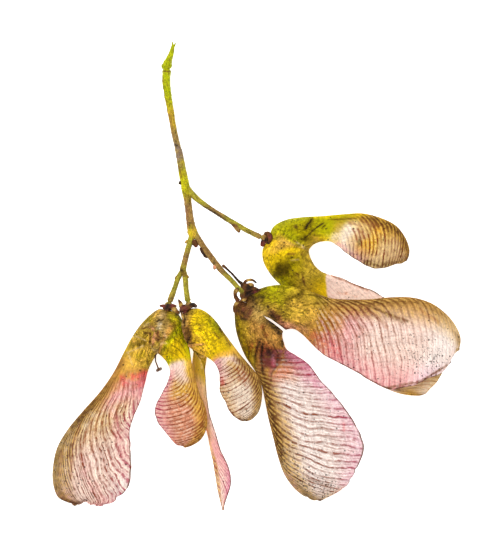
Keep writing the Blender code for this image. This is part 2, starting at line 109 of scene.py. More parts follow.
class SamaraSizes(bpy.types.PropertyGroup):
    """Sizes that every winged half shares."""
    nutlet_half: length("Nutlet half thickness", "From a nutlet's middle to its skin, at its fattest", 2.4)
    blade_half: length("Blade half thickness", "Half the thickness of the papery blade", 0.12)
    rib_radius: length("Rib radius", "Radius of the thick rib along a wing's back edge", 0.5)
    pleat: length("Pleat height", "How far the blade rises along a main vein", 0.05)
    pucker: length("Pucker height", "How far the blade bulges between its veins", 0.16)
    ripple: length("Margin ripple", "How far the thin margin strays from a smooth line", 0.2)
    seam_gap: length("Seam gap", "Clearance between the two halves of a samara", 0.01)
    steps_along: count("Steps along", "Sections from the seam to the tip of a half", 400)
    steps_across: count("Steps across", "Intervals across each face of a section", 96)


class SamaraPalette(bpy.types.PropertyGroup):
    """The colours of skin, papery blade and veins."""
    sprout: swatch("Sprout", "Fresh green of the stalk", (166, 172, 0))
    lime: swatch("Lime", "Brightest green of a nutlet", (178, 172, 4))
    leaf: swatch("Leaf green", "Shaded green of a nutlet", (156, 138, 0))
    moss: swatch("Moss", "Dark green patches of a nutlet", (78, 62, 0))
    olive: swatch("Olive", "Drying green of a nutlet", (188, 156, 44))
    yellow: swatch("Yellow", "Ripening skin", (238, 200, 16))
    # Gold also colours the highlights painted near a rib
    gold: swatch("Gold", "Golden blade beside the rib", (232, 182, 70))
    amber: swatch("Amber", "Warmest yellow of skin and blade", (246, 190, 62))
    ochre: swatch("Ochre", "Brown gold of an ageing blade", (196, 142, 66))
    tan: swatch("Tan", "Dried skin", (176, 142, 74))
    straw: swatch("Straw", "Pale dry blade", (230, 194, 140))
    # Cream is also the usual colour of the highlights painted between veins
    cream: swatch("Cream", "Palest blade between veins", (252, 234, 210))
    # Pearl also colours the highlights painted between the right samara's veins
    pearl: swatch("Pearl", "Pale grey pink blade", (252, 236, 226))
    blush: swatch("Blush", "Faint pink blade", (250, 218, 202))
    rose: swatch("Rose", "Pink blade", (240, 174, 168))
    petal: swatch("Petal", "Palest purple pink blade", (252, 218, 222))
    orchid: swatch("Orchid", "Purple pink blade", (226, 148, 172))
    crimson: swatch("Crimson", "Strongest red of a neck", (232, 92, 84))
    salmon: swatch("Salmon", "Orange pink blade", (228, 154, 120))
    rust: swatch("Rust", "Red brown veins", (138, 66, 34))
    wine: swatch("Wine", "Dark pink veins", (170, 58, 84))
    umber: swatch("Umber", "Brown veins and ribs", (92, 56, 26))
    maroon: swatch("Maroon", "Dark red brown patches", (106, 50, 44))
    ink: swatch("Ink", "Nearly black marks", (38, 26, 20))
    ash: swatch("Ash", "Grey weathered stalk", (122, 104, 98))
    reed: swatch("Reed", "Dull green of a fruit stem", (156, 146, 44))
    bark: swatch("Bark", "Brown dried stem", (146, 114, 60))
    # Glow is the colour of highlights painted on the golden blade, between its veins and in one mark
    glow: swatch("Glow", "Light strokes of a golden blade", (255, 226, 140))


class StudioLooks(bpy.types.PropertyGroup):
    """The surface under the cluster, its light and its camera."""
    floor: swatch("Floor", "Colour of the surface that the cluster lies on", (252, 252, 252))
    key_power: bpy.props.FloatProperty(
        name="Key power", description="Power of the large light above the left", default=0.9, unit="POWER")
    fill_strength: bpy.props.FloatProperty(
        name="Fill strength", description="Strength of the even light from all round", default=0.95)
    glow: bpy.props.FloatProperty(
        name="Glow", description="Light that comes through the surface, as on a light table", default=0.7)
    camera_height: length("Camera height", "From the surface straight up to the camera", 1500.0)


def paint(name):
    """A palette colour as it looks on a screen."""
    return np.array(getattr(bpy.context.scene.samara_palette, name))


def linear(colours):
    """Colours as light, from colours as they look on a screen."""
    colours = np.clip(colours, 0.0, 1.0)
    return np.where(colours <= 0.04045, colours / 12.92, ((colours + 0.055) / 1.055) ** 2.4)


def unit(vectors):
    """The given vector or rows of vectors, each at length one."""
    vectors = np.asarray(vectors, dtype=float)
    return vectors / np.linalg.norm(vectors, axis=-1, keepdims=True)


def ramp(values):
    """A smooth rise from 0 to 1 while the values go from 0 to 1."""
    inside = np.clip(values, 0.0, 1.0)
    return inside * inside * (3.0 - 2.0 * inside)


def smooth_route(points, places):
    """Points on a Catmull-Rom curve: place 0 is its first point, 1 its second, and so on."""
    given = np.asarray(points, dtype=float)
    padded = np.vstack([2 * given[0] - given[1], given, 2 * given[-1] - given[-2]])
    span = np.clip(places.astype(int), 0, len(given) - 2)
    f = (places - span)[:, None]
    a, b, c, d = (padded[span + k] for k in range(4))
    return 0.5 * (2 * b + (c - a) * f + (2 * a - 5 * b + 4 * c - d) * f ** 2
                  + (3 * b - a - 3 * c + d) * f ** 3)


def soft_noise(points, size, seed):
    """Smooth chance values from -1 to 1: one value at each corner of a lattice, blended between."""
    spread = np.asarray(points) / size + seed * SEED_SHIFT
    cell = np.floor(spread)
    f = ramp(spread - cell)
    total = 0.0
    for corner in np.ndindex((2,) * spread.shape[-1]):
        share = np.prod(np.where(np.array(corner) == 1, f, 1 - f), axis=-1)
        places = (cell + corner) @ CORNER_STEPS[:len(corner)]
        chance = np.sin(places + seed) * CHANCE_SPREAD
        total = total + share * (2 * (chance - np.floor(chance)) - 1)
    return total


def layered(points, layers, seed):
    """Sum of soft noises, each layer with its size and its share."""
    return sum(share * soft_noise(points, size, seed + number)
               for number, (size, share) in enumerate(layers))


@dataclass
class Veins:
    """The veins of one blade. Each leaves the rib and reaches the thin margin some stations on."""
    lag: float                  # stations from a vein's start to its end, at station 0
    bend: float                 # power of its path: low leaves steeply and then crosses the blade
    per_station: float          # main veins that leave the rib in one station
    colours: tuple              # palette names at the rib, in the middle and at the margin
    strength: tuple             # (station, how strongly the veins show) from the seam on
    lag_growth: float = 0.0     # how much longer the lag gets from one station to the next
    hook: float = 0.0           # how far a vein overshoots before the margin and comes back
    slant: float = 0.0          # how many stations sooner the strength comes at the margin
    forks: tuple = (0.85, 0.6)  # how strongly the first and the second forks show
    thick: float = 0.12         # half the thickness of a main vein, as a share of their spacing
    light: str = "cream"        # palette name of the highlights painted between veins


@dataclass
class Mark:
    """A stain, crease or ridge: a path of (x, y) points with a soft ragged border."""
    path: tuple
    width: float
    colour: str
    strength: float = 0.8
    lift: float = 0.0           # how far the skin rises there, below zero where it sinks


def path_distance(points, path):
    """Distance in x and y from each point to a path."""
    flat = points[..., :2]
    corners = np.asarray(path, dtype=float).reshape(-1, 2)
    if len(corners) == 1:
        return np.linalg.norm(flat - corners[0], axis=-1)
    nearest = np.full(flat.shape[:-1], np.inf)
    for start, end in zip(corners[:-1], corners[1:]):
        run = end - start
        share = np.clip((flat - start) @ run / (run @ run), 0.0, 1.0)
        nearest = np.minimum(nearest, np.linalg.norm(flat - start - share[..., None] * run, axis=-1))
    return nearest


def nearness(points, path, reach):
    """1 on a path, falling to nothing round it as exp(-(distance / reach) ** 2)."""
    return np.exp(-(path_distance(points, path) / reach) ** 2)


def marked(points, colours, marks):
    """Colours with marks laid over them, and how far the marks lift the skin.

    A mark's share is strength * exp(-(distance / width) ** 2), with noise added to the distance
    and the width, so that its border is ragged and its strength uneven.
    """
    lift = np.zeros(points.shape[:-1])
    for number, mark in enumerate(marks):
        ragged = soft_noise(points, 0.3 + 0.4 * mark.width, number + 3)
        fine = soft_noise(points, 0.28, number + 5)
        reach = mark.width * (1 + 0.55 * soft_noise(points, 1.1, number + 9))
        away = path_distance(points, mark.path) + (0.6 * ragged + 0.5 * fine) * mark.width
        near = np.exp(-(away / reach) ** 2) * (0.8 + 0.35 * fine)
        share = (mark.strength * near)[..., None]
        colours = (1 - share) * colours + share * paint(mark.colour)
        lift = lift + mark.lift * near
    return colours, lift


def across_blend(three, across):
    """Blend of three values at the rib, in the middle and at the thin edge."""
    low = ramp(1 - RIB_FADE * across)[..., None]
    high = ramp(EDGE_RISE * across - (EDGE_RISE - 1))[..., None]
    return low * three[..., 0, :] + (1 - low - high) * three[..., 1, :] + high * three[..., 2, :]


def zone_colours(zones, along, across):
    """Colours between zones, each (station, rib colour, middle colour, edge colour)."""
    stops = np.array([zone[0] for zone in zones])
    table = np.array([[paint(name) for name in zone[1:]] for zone in zones])
    k = np.clip(np.searchsorted(stops, along) - 1, 0, len(stops) - 2)
    f = ramp((along - stops[k]) / (stops[k + 1] - stops[k]))[..., None, None]
    return across_blend((1 - f) * table[k] + f * table[k + 1], across)


def loft_faces(rings, around):
    """Faces of a closed loft: quads between its rings, and strips across its two end rings."""
    ring, side = np.meshgrid(np.arange(rings - 1), np.arange(around), indexing="ij")
    after = (side + 1) % around
    quads = np.stack([ring * around + side, ring * around + after,
                      (ring + 1) * around + after, (ring + 1) * around + side], axis=-1)
    half = around // 2
    faces = quads.reshape(-1, 4).tolist()
    for base, first in ((0, True), ((rings - 1) * around, False)):
        strip = [(base, base + 1, base + around - 1)]
        strip += [(base + j, base + j + 1, base + around - j - 1, base + around - j)
                  for j in range(1, half - 1)]
        strip.append((base + half - 1, base + half, base + half + 1))
        faces += [tuple(reversed(face)) if first else face for face in strip]
    return faces


def put_mesh(name, points, faces, skin, maps, colours, sharp=0.9):
    """A mesh object from points in millimetres, turned outwards, with its UV maps and colours."""
    mesh = bpy.data.meshes.new(name)
    mesh.from_pydata((points * MM).tolist(), [], faces)
    mesh.update()
    mesh.calc_loop_triangles()
    corners = np.empty(len(mesh.loop_triangles) * 3, dtype=np.int32)
    mesh.loop_triangles.foreach_get("vertices", corners)
    a, b, c = (points[corners.reshape(-1, 3)[:, k]] for k in range(3))
    if np.einsum("ij,ij->", a, np.cross(b, c)) < 0:
        mesh.flip_normals()
    loops = np.empty(len(mesh.loops), dtype=np.int32)
    mesh.loops.foreach_get("vertex_index", loops)
    for layer, uv in maps.items():
        mesh.uv_layers.new(name=layer).data.foreach_set("uv", uv[loops].ravel().astype(np.float32))
    for layer, values in colours.items():
        rgba = np.ones((len(points), 4), dtype=np.float32)
        rgba[:, :3] = values
        stored = mesh.color_attributes.new(name=layer, type="FLOAT_COLOR", domain="POINT")
        stored.data.foreach_set("color", rgba.ravel())
    mesh.shade_smooth()
    mesh.set_sharp_from_angle(angle=sharp)
    mesh.materials.append(skin)
    made = bpy.data.objects.new(name, mesh)
    bpy.context.scene.collection.objects.link(made)
    return made


def stand_for(piece, node):
    """The piece is shown in place of a CAD node."""
    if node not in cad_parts:
        raise RuntimeError(f"the packed model has no node {node}")
    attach(piece, "root")
    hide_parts(node)


class Graph:
    """A material's node tree, with short calls that add a node and give back its output."""

    def __init__(self, name):
        self.material = bpy.data.materials.new(name)
        self.material.use_nodes = True
        self.tree = self.material.node_tree
        self.shader = self.tree.nodes["Principled BSDF"]

    def feed(self, socket, value):
        """Link an output to the socket, or set the socket's own value."""
        if isinstance(value, bpy.types.NodeSocket):
            self.tree.links.new(value, socket)
        else:
            socket.default_value = value

    def node(self, kind, inputs=(), **settings):
        """Add a node, with its settings and the inputs named or numbered."""
        made = self.tree.nodes.new("ShaderNode" + kind)
        for key, value in settings.items():
            setattr(made, key, value)
        for key, value in dict(inputs).items():
            self.feed(made.inputs[key], value)
        return made

    def math(self, operation, first, second=0.0, clamp=False):
        """One arithmetic step."""
        return self.node("Math", {0: first, 1: second}, operation=operation, use_clamp=clamp).outputs[0]

    def times(self, first, second):
        """Product of two values."""
        return self.math("MULTIPLY", first, second)

    def plus(self, first, second):
        """Sum of two values."""
        return self.math("ADD", first, second)

    def highest(self, *values):
        """The largest of some values."""
        best = values[0]
        for value in values[1:]:
            best = self.math("MAXIMUM", best, value)
        return best

    def rise(self, value, start, end, low=0.0, high=1.0):
        """A smooth step from low to high while the value goes from start to end."""
        made = self.node("MapRange", {"Value": value, "From Min": start, "From Max": end,
                                      "To Min": low, "To Max": high},
                         interpolation_type="SMOOTHSTEP")
        return made.outputs["Result"]

    def fall(self, value, start, end):
        """A smooth step from 1 to 0 while the value goes from start to end."""
        return self.rise(value, start, end, low=1.0, high=0.0)

    def vector(self, x, y, z=0.0):
        """A vector from three values."""
        return self.node("CombineXYZ", {0: x, 1: y, 2: z}).outputs[0]

    def parts(self, vector):
        """The three parts of a vector."""
        return self.node("SeparateXYZ", {0: vector}).outputs

    def mapped(self, name):
        """The two values of a UV map."""
        return self.parts(self.node("UVMap", uv_map=name).outputs[0])[:2]

    def stored(self, name):
        """Colours stored on the mesh."""
        return self.node("Attribute", attribute_name=name).outputs["Color"]

    def spread(self, noise):
        """Noise stretched to run from -1 to 1."""
        return self.rise(noise, 0.32, 0.68, low=-1.0)

    def shades(self, *noises):
        """A colour to multiply with: 1, plus each noise stretched and taken so many times."""
        total = 1.0
        for noise, share in noises:
            total = self.plus(self.times(self.spread(noise), share), total)
        return self.vector(total, total, total)

    def place(self):
        """Object coordinates in millimetres."""
        coordinates = self.node("TexCoord").outputs["Object"]
        return self.node("VectorMath", {0: coordinates, "Scale": 1 / MM}, operation="SCALE").outputs[0]

    def noise(self, place, scale, detail=3.0, roughness=0.55):
        """Cloudy chance values from 0 to 1."""
        return self.node("TexNoise", {"Vector": place, "Scale": scale, "Detail": detail,
                                      "Roughness": roughness}).outputs["Fac"]

    def warped(self, place, scale, reach):
        """Places moved about by cloudy noise, by up to so many millimetres."""
        cloudy = self.node("TexNoise", {"Vector": place, "Scale": scale, "Detail": 3.0}).outputs["Color"]
        moved = self.node("VectorMath", {0: cloudy, "Scale": reach}, operation="SCALE").outputs[0]
        return self.node("VectorMath", {0: place, 1: moved}, operation="ADD").outputs[0]

    def tinted(self, colour, red, green, blue):
        """A colour with each part multiplied."""
        return self.mix(1.0, colour, self.vector(red, green, blue), "MULTIPLY")

    def net(self, place, scale):
        """Distance to the borders of a net of cells."""
        return self.node("TexVoronoi", {"Vector": place, "Scale": scale},
                         feature="DISTANCE_TO_EDGE").outputs["Distance"]

    def dots(self, place, scale, radius, density):
        """Round dots of chance size in a share of the cells."""
        cells = self.node("TexVoronoi", {"Vector": place, "Scale": scale})
        chance = self.parts(cells.outputs["Color"])
        reach = self.times(self.rise(chance[0], 0.0, 1.0, low=0.4), radius)
        inside = self.math("LESS_THAN", cells.outputs["Distance"], reach)
        return self.times(inside, self.math("LESS_THAN", chance[1], density))

    def chance(self, number):
        """A chance value from 0 to 1 for each whole number."""
        return self.node("TexWhiteNoise", {"W": number}, noise_dimensions="1D").outputs["Value"]

    def mix(self, share, first, second, blend="MIX"):
        """Mix of two colours."""
        made = self.node("Mix", data_type="RGBA", blend_type=blend)
        self.feed(made.inputs["Factor"], share)
        self.feed(made.inputs[6], first)
        self.feed(made.inputs[7], second)
        return made.outputs[2]

    def bump(self, height, strength, reach):
        """Relief of a height from 0 to 1 that stands for so many millimetres."""
        made = self.node("Bump", {"Height": height, "Strength": strength, "Distance": reach * MM})
        self.feed(self.shader.inputs["Normal"], made.outputs["Normal"])


def screen(name):
    """A palette colour as a shader takes it."""
    return (*linear(paint(name)), 1.0)


def vein_lines(g, phase, across, veins):
    """How strongly a vein shows, and how far a point lies from the main veins, which places the highlights
    painted between them.

    Main veins run at whole phases and fork twice towards the margin. A fork leaves its vein at a
    chance share of the way across and swings out to half way to the next vein, and the second
    forks do the same between those. A line is full up to 0.4 of its half thickness and fades out
    at 1.4 of it.
    """
    def line(away, thick):
        return g.fall(away, thick * 0.4, thick * 1.4)

    def forks(value, earliest, latest, swing, thick):
        own_start = g.chance(g.plus(g.math("FLOOR", value), 0.5))
        start = g.rise(own_start, 0.0, 1.0, low=earliest, high=latest)
        out = g.times(g.rise(g.math("SUBTRACT", across, start), 0.0, swing), 0.5)
        return line(g.math("ABSOLUTE", g.math("SUBTRACT", g.math("FRACT", value), out)), thick)

    nearest = g.plus(phase, 0.5)
    away = g.math("ABSOLUTE", g.math("SUBTRACT", g.math("FRACT", nearest), 0.5))
    own = g.rise(g.chance(g.math("FLOOR", nearest)), 0.0, 1.0, low=0.7)
    tapered = g.times(away, g.rise(across, 0.1, 0.55, low=0.55, high=0.85))
    main = g.times(line(tapered, veins.thick), own)
    halo = g.rise(away, 0.0, 0.4, low=0.3, high=0.0)
    first = forks(phase, earliest=0.05, latest=0.5, swing=0.35, thick=veins.thick * 0.8)
    second = forks(g.times(phase, 2.0), earliest=0.35, latest=0.85, swing=0.3, thick=veins.thick * 1.2)
    shown = g.highest(main, halo, g.times(first, veins.forks[0]), g.times(second, veins.forks[1]))
    return shown, g.rise(away, 0.18, 0.4)


def skin_noises(g, place, along, from_rib):
    """The chance patterns of a winged half: clouds, grain, blotches, fibres, folds and wrinkles.

    Fibres and folds are noise drawn out along the half, folds more coarsely. A crease lies where
    the folds pass their middle value, and wrinkles are the borders of a warped net of cells.
    """
    cloud = g.noise(place, scale=0.5, detail=4.0, roughness=0.6)
    grain = g.noise(place, scale=2.6, detail=5.0, roughness=0.7)
    blotch = g.noise(place, scale=1.0, detail=6.0, roughness=0.72)
    fibre_place = g.vector(g.times(along, 0.4), g.times(from_rib, 2.6), g.times(cloud, 1.5))
    fibre = g.noise(fibre_place, scale=1.0, detail=4.0, roughness=0.65)
    fold_place = g.vector(g.times(along, 0.5), from_rib, g.times(cloud, 2.5))
    folds = g.noise(fold_place, scale=1.0, detail=5.0, roughness=0.65)
    crease = g.fall(g.math("ABSOLUTE", g.plus(folds, -0.5)), 0.0, 0.02)
    cells = g.net(g.warped(place, scale=0.9, reach=2.4), 1.0)
    wrinkle = g.times(g.fall(cells, 0.0, 0.13), g.rise(g.noise(place, 0.8), 0.4, 0.56))
    return cloud, grain, blotch, fibre, folds, crease, wrinkle


def wing_material(name, vein_kind, mottle):
    """Skin of a winged half: mottled flesh on the nutlet, and a papery blade with raised veins, with
    highlights painted between the veins and on the nutlet's grain.

    The UV map "veins" holds the vein phase and the share of the way across, and "fibres" holds the
    millimetres from the seam and from the rib. The mesh's colours hold the ground colour, the vein
    colour, the share of cells with a dark speck, and three traits: vein strength, flesh, and how
    near the rib a point is. The mottle says how strongly the nutlet's skin is mottled, from 0 to 1.
    """
    g = Graph(name)
    place = g.place()
    phase, across = g.mapped("veins")
    along, from_rib = g.mapped("fibres")
    ground = g.stored("ground")
    strength, flesh, ribbed = g.parts(g.stored("traits"))
    specked = g.parts(g.stored("specks"))[0]
    cloud, grain, blotch, fibre, folds, crease, wrinkle = skin_noises(g, place, along, from_rib)

    # Veins, the mesh of fine cross veins, and the band between veins where highlights are painted
    tremble = g.plus(g.noise(place, 0.7), -0.5)
    phase = g.plus(phase, g.times(tremble, 0.5))
    lines, between = vein_lines(g, phase, across, vein_kind)
    mesh_cells = g.net(g.vector(g.times(phase, 2.2), g.times(across, 15.0)), 1.0)
    cross = g.fall(mesh_cells, 0.0, 0.1)
    broken = g.rise(g.noise(place, 1.0), 0.35, 0.58, low=0.4)
    veins = g.times(g.highest(g.times(lines, broken), g.times(cross, 0.32)), strength)
    painted_highlights = g.times(g.times(between, g.rise(g.noise(place, 1.5), 0.4, 0.56)), strength)
    painted_highlights = g.times(painted_highlights, g.fall(flesh, 0.15, 0.6))

    # The blade's ground, then the nutlet's spots, creases, fibres and painted glints over it
    papery = g.shades((cloud, 0.09), (grain, 0.14), (fibre, 0.17))
    fleshy = g.shades((blotch, 0.34), (grain, 0.3), (folds, 0.4), (fibre, 0.3))
    colour = g.mix(1.0, ground, papery, "MULTIPLY")
    spots = g.times(flesh, mottle)
    colour = g.mix(spots, colour, g.mix(1.0, colour, fleshy, "MULTIPLY"))
    deep = g.tinted(ground, red=0.3, green=0.28, blue=0.15)
    painted_glint = g.tinted(ground, red=1.4, green=1.36, blue=1.2)
    for pattern, share, tone in (
            (g.rise(blotch, 0.54, 0.64), 0.5, deep),
            (g.rise(blotch, 0.47, 0.36), 0.2, screen("amber")),
            # Painted highlights: lighter glints where the grain noise is low
            (g.rise(grain, 0.46, 0.36), 0.6, painted_glint),
            (crease, 0.7, deep),
            (wrinkle, 0.5, deep),
            (g.rise(fibre, 0.54, 0.62), 0.7, deep)):
        colour = g.mix(g.times(pattern, g.times(spots, share)), colour, tone)

    # Brown bundles along the rib, painted highlights between the veins that turn gold near it, and the veins
    bundles = g.times(g.rise(fibre, 0.45, 0.56), ribbed)
    colour = g.mix(g.times(bundles, 0.6), colour, screen("umber"))
    # Painted highlight colour: the ground made lighter and mixed with the blade's highlight colour, gold
    # near the rib
    light = g.mix(0.55, g.tinted(ground, red=1.3, green=1.3, blue=1.3), screen(vein_kind.light))
    by_rib = g.highest(g.times(ribbed, 0.9), g.fall(across, 0.1, 0.4))
    light = g.mix(g.rise(by_rib, 0.0, 1.0, high=0.85), light, screen("gold"))
    colour = g.mix(g.times(painted_highlights, 0.85), colour, light)
    colour = g.mix(veins, colour, g.stored("vein_tint"))

    # Dark specks, and the dark line along the thin edge
    dark_dots = g.highest(g.dots(place, scale=1.9, radius=0.36, density=specked),
                          g.dots(place, scale=3.2, radius=0.42, density=specked))
    colour = g.mix(g.times(dark_dots, 0.75), colour, screen("ink"))
    margin = g.times(g.rise(across, 0.975, 0.99), g.fall(flesh, 0.0, 0.5))
    margin = g.times(margin, g.rise(g.noise(place, 0.9), 0.35, 0.5, low=0.4))
    colour = g.mix(g.times(margin, 0.9), colour, screen("umber"))
    g.feed(g.shader.inputs["Base Color"], colour)

    g.feed(g.shader.inputs["Roughness"], g.plus(g.times(grain, 0.3), 0.45))
    g.shader.inputs["Specular IOR Level"].default_value = 0.06
    height = g.times(veins, 0.6)
    for pattern, share in ((cloud, 0.3), (grain, 0.45), (fibre, 0.7)):
        height = g.plus(height, g.times(pattern, share))
    height = g.plus(height, g.times(g.plus(folds, g.times(wrinkle, -0.6)), flesh))
    g.bump(height, strength=1.0, reach=0.32)
    return g.material


def stem_material(name, streaks, gloss):
    """Skin of a stem or a dried scrap: its stored ground colour with lengthwise streaks.

    The UV map "length" holds the millimetres from the limb's start and the share of a turn round it.
    """
    g = Graph(name)
    place = g.place()
    along, turn = g.mapped("length")
    cloud = g.noise(place, scale=0.8, detail=4.0, roughness=0.65)
    grain = g.noise(place, scale=4.5, detail=4.0, roughness=0.65)
    streak_place = g.vector(g.times(along, 0.7), g.times(turn, 9.0), cloud)
    streak = g.noise(streak_place, scale=1.0, detail=4.0, roughness=0.65)
    woody = g.shades((grain, 0.4), (cloud, 0.25), (streak, 0.45))
    colour = g.mix(1.0, g.stored("ground"), woody, "MULTIPLY")
    colour = g.mix(g.times(g.rise(streak, 0.52, 0.6), streaks), colour, screen("umber"))
    dark_dots = g.dots(place, scale=2.6, radius=0.16, density=0.12)
    colour = g.mix(g.times(dark_dots, 0.7), colour, screen("umber"))
    g.feed(g.shader.inputs["Base Color"], colour)
    g.feed(g.shader.inputs["Roughness"], g.plus(g.times(grain, 0.3), 0.5 - gloss))
    g.shader.inputs["Specular IOR Level"].default_value = 0.1
    g.bump(g.plus(g.times(streak, 0.6), g.times(grain, 0.4)), strength=0.8, reach=0.2)
    return g.material


@dataclass
class Limb:
    """A stem, lobe or thread: (x, y, z, half width, half thickness) from its start to its end."""
    route: tuple
    colours: tuple              # palette names, spread evenly from start to end
    rough: float = 0.08         # how far the skin strays, as a share of its half width


def limb_surface(limb, around, step, seed):
    """Points, ground colours, and the length and turn of one limb.

    A point is centre + side * w * cos(t) + top * h * sin(t), where t goes once round from the
    underside, side and top stand across the smooth route, and w and h are its half width and half
    thickness there, rounded off at both ends and roughened by noise.
    """
    route = np.asarray(limb.route, dtype=float)
    rings = 4 + int(np.linalg.norm(np.diff(route[:, :3], axis=0), axis=1).sum() / step)
    place = np.linspace(0.0, len(route) - 1, rings)
    smooth = smooth_route(route, place)
    centre = smooth[:, :3]
    tangent = unit(np.gradient(centre, axis=0))
    side = unit(np.cross(tangent, (0, 0, 1)))
    top = np.cross(side, tangent)
    length = np.concatenate([[0.0], np.cumsum(np.linalg.norm(np.diff(centre, axis=0), axis=1))])
    to_end = np.minimum(length, length[-1] - length)
    cap = np.clip(to_end / np.maximum(smooth[:, 4], 0.05), 0.0, 1.0)
    round_off = np.sqrt(np.maximum(1 - (1 - cap) ** 2, 0.02))
    turn = np.linspace(0.0, 1.0, around, endpoint=False)
    angle = 2 * np.pi * turn - np.pi / 2
    across = np.cos(angle)[None, :, None] * side[:, None, :] * smooth[:, None, 3:4]
    across = across + np.sin(angle)[None, :, None] * top[:, None, :] * smooth[:, None, 4:5]
    across = across * round_off[:, None, None]
    skin = centre[:, None, :] + across
    ridges = 0.5 * np.cos(5 * 2 * np.pi * turn + 0.4 * length[:, None])
    skin = skin + across * (limb.rough * (layered(skin, STEM_BUMPS, seed) + ridges))[:, :, None]
    stops = np.linspace(0.0, len(limb.colours) - 1, rings)
    k = np.clip(stops.astype(int), 0, max(len(limb.colours) - 2, 0))
    table = np.array([paint(name) for name in limb.colours + limb.colours[-1:]])
    share = ramp(stops - k)[:, None, None]
    patches = 0.25 * soft_noise(skin, 0.8, seed + 2)[:, :, None]
    share = np.clip(share + patches * (share > 0) * (share < 1), 0.0, 1.0)
    ground = (1 - share) * table[k][:, None, :] + share * table[k + 1][:, None, :]
    run = np.stack(np.broadcast_arrays(length[:, None], turn[None, :]), axis=-1)
    return skin, ground, run


def put_limbs(node, limbs, skin, marks=(), around=28, step=0.12, seed=1):
    """Limbs that grow together, joined in one mesh and shown in place of a CAD node."""
    made = [limb_surface(limb, around, step, seed + 10 * number) for number, limb in enumerate(limbs)]
    faces = []
    below = 0
    for points, _, _ in made:
        faces += [tuple(below + corner for corner in face) for face in loft_faces(len(points), around)]
        below += points.shape[0] * around
    points, ground, run = (np.concatenate([part[k].reshape(-1, part[k].shape[-1]) for part in made])
                           for k in range(3))
    ground, _ = marked(points, ground, marks)
    piece = put_mesh(node + "_skin", points, faces, skin, {"length": run}, {"ground": linear(ground)})
    stand_for(piece, node)


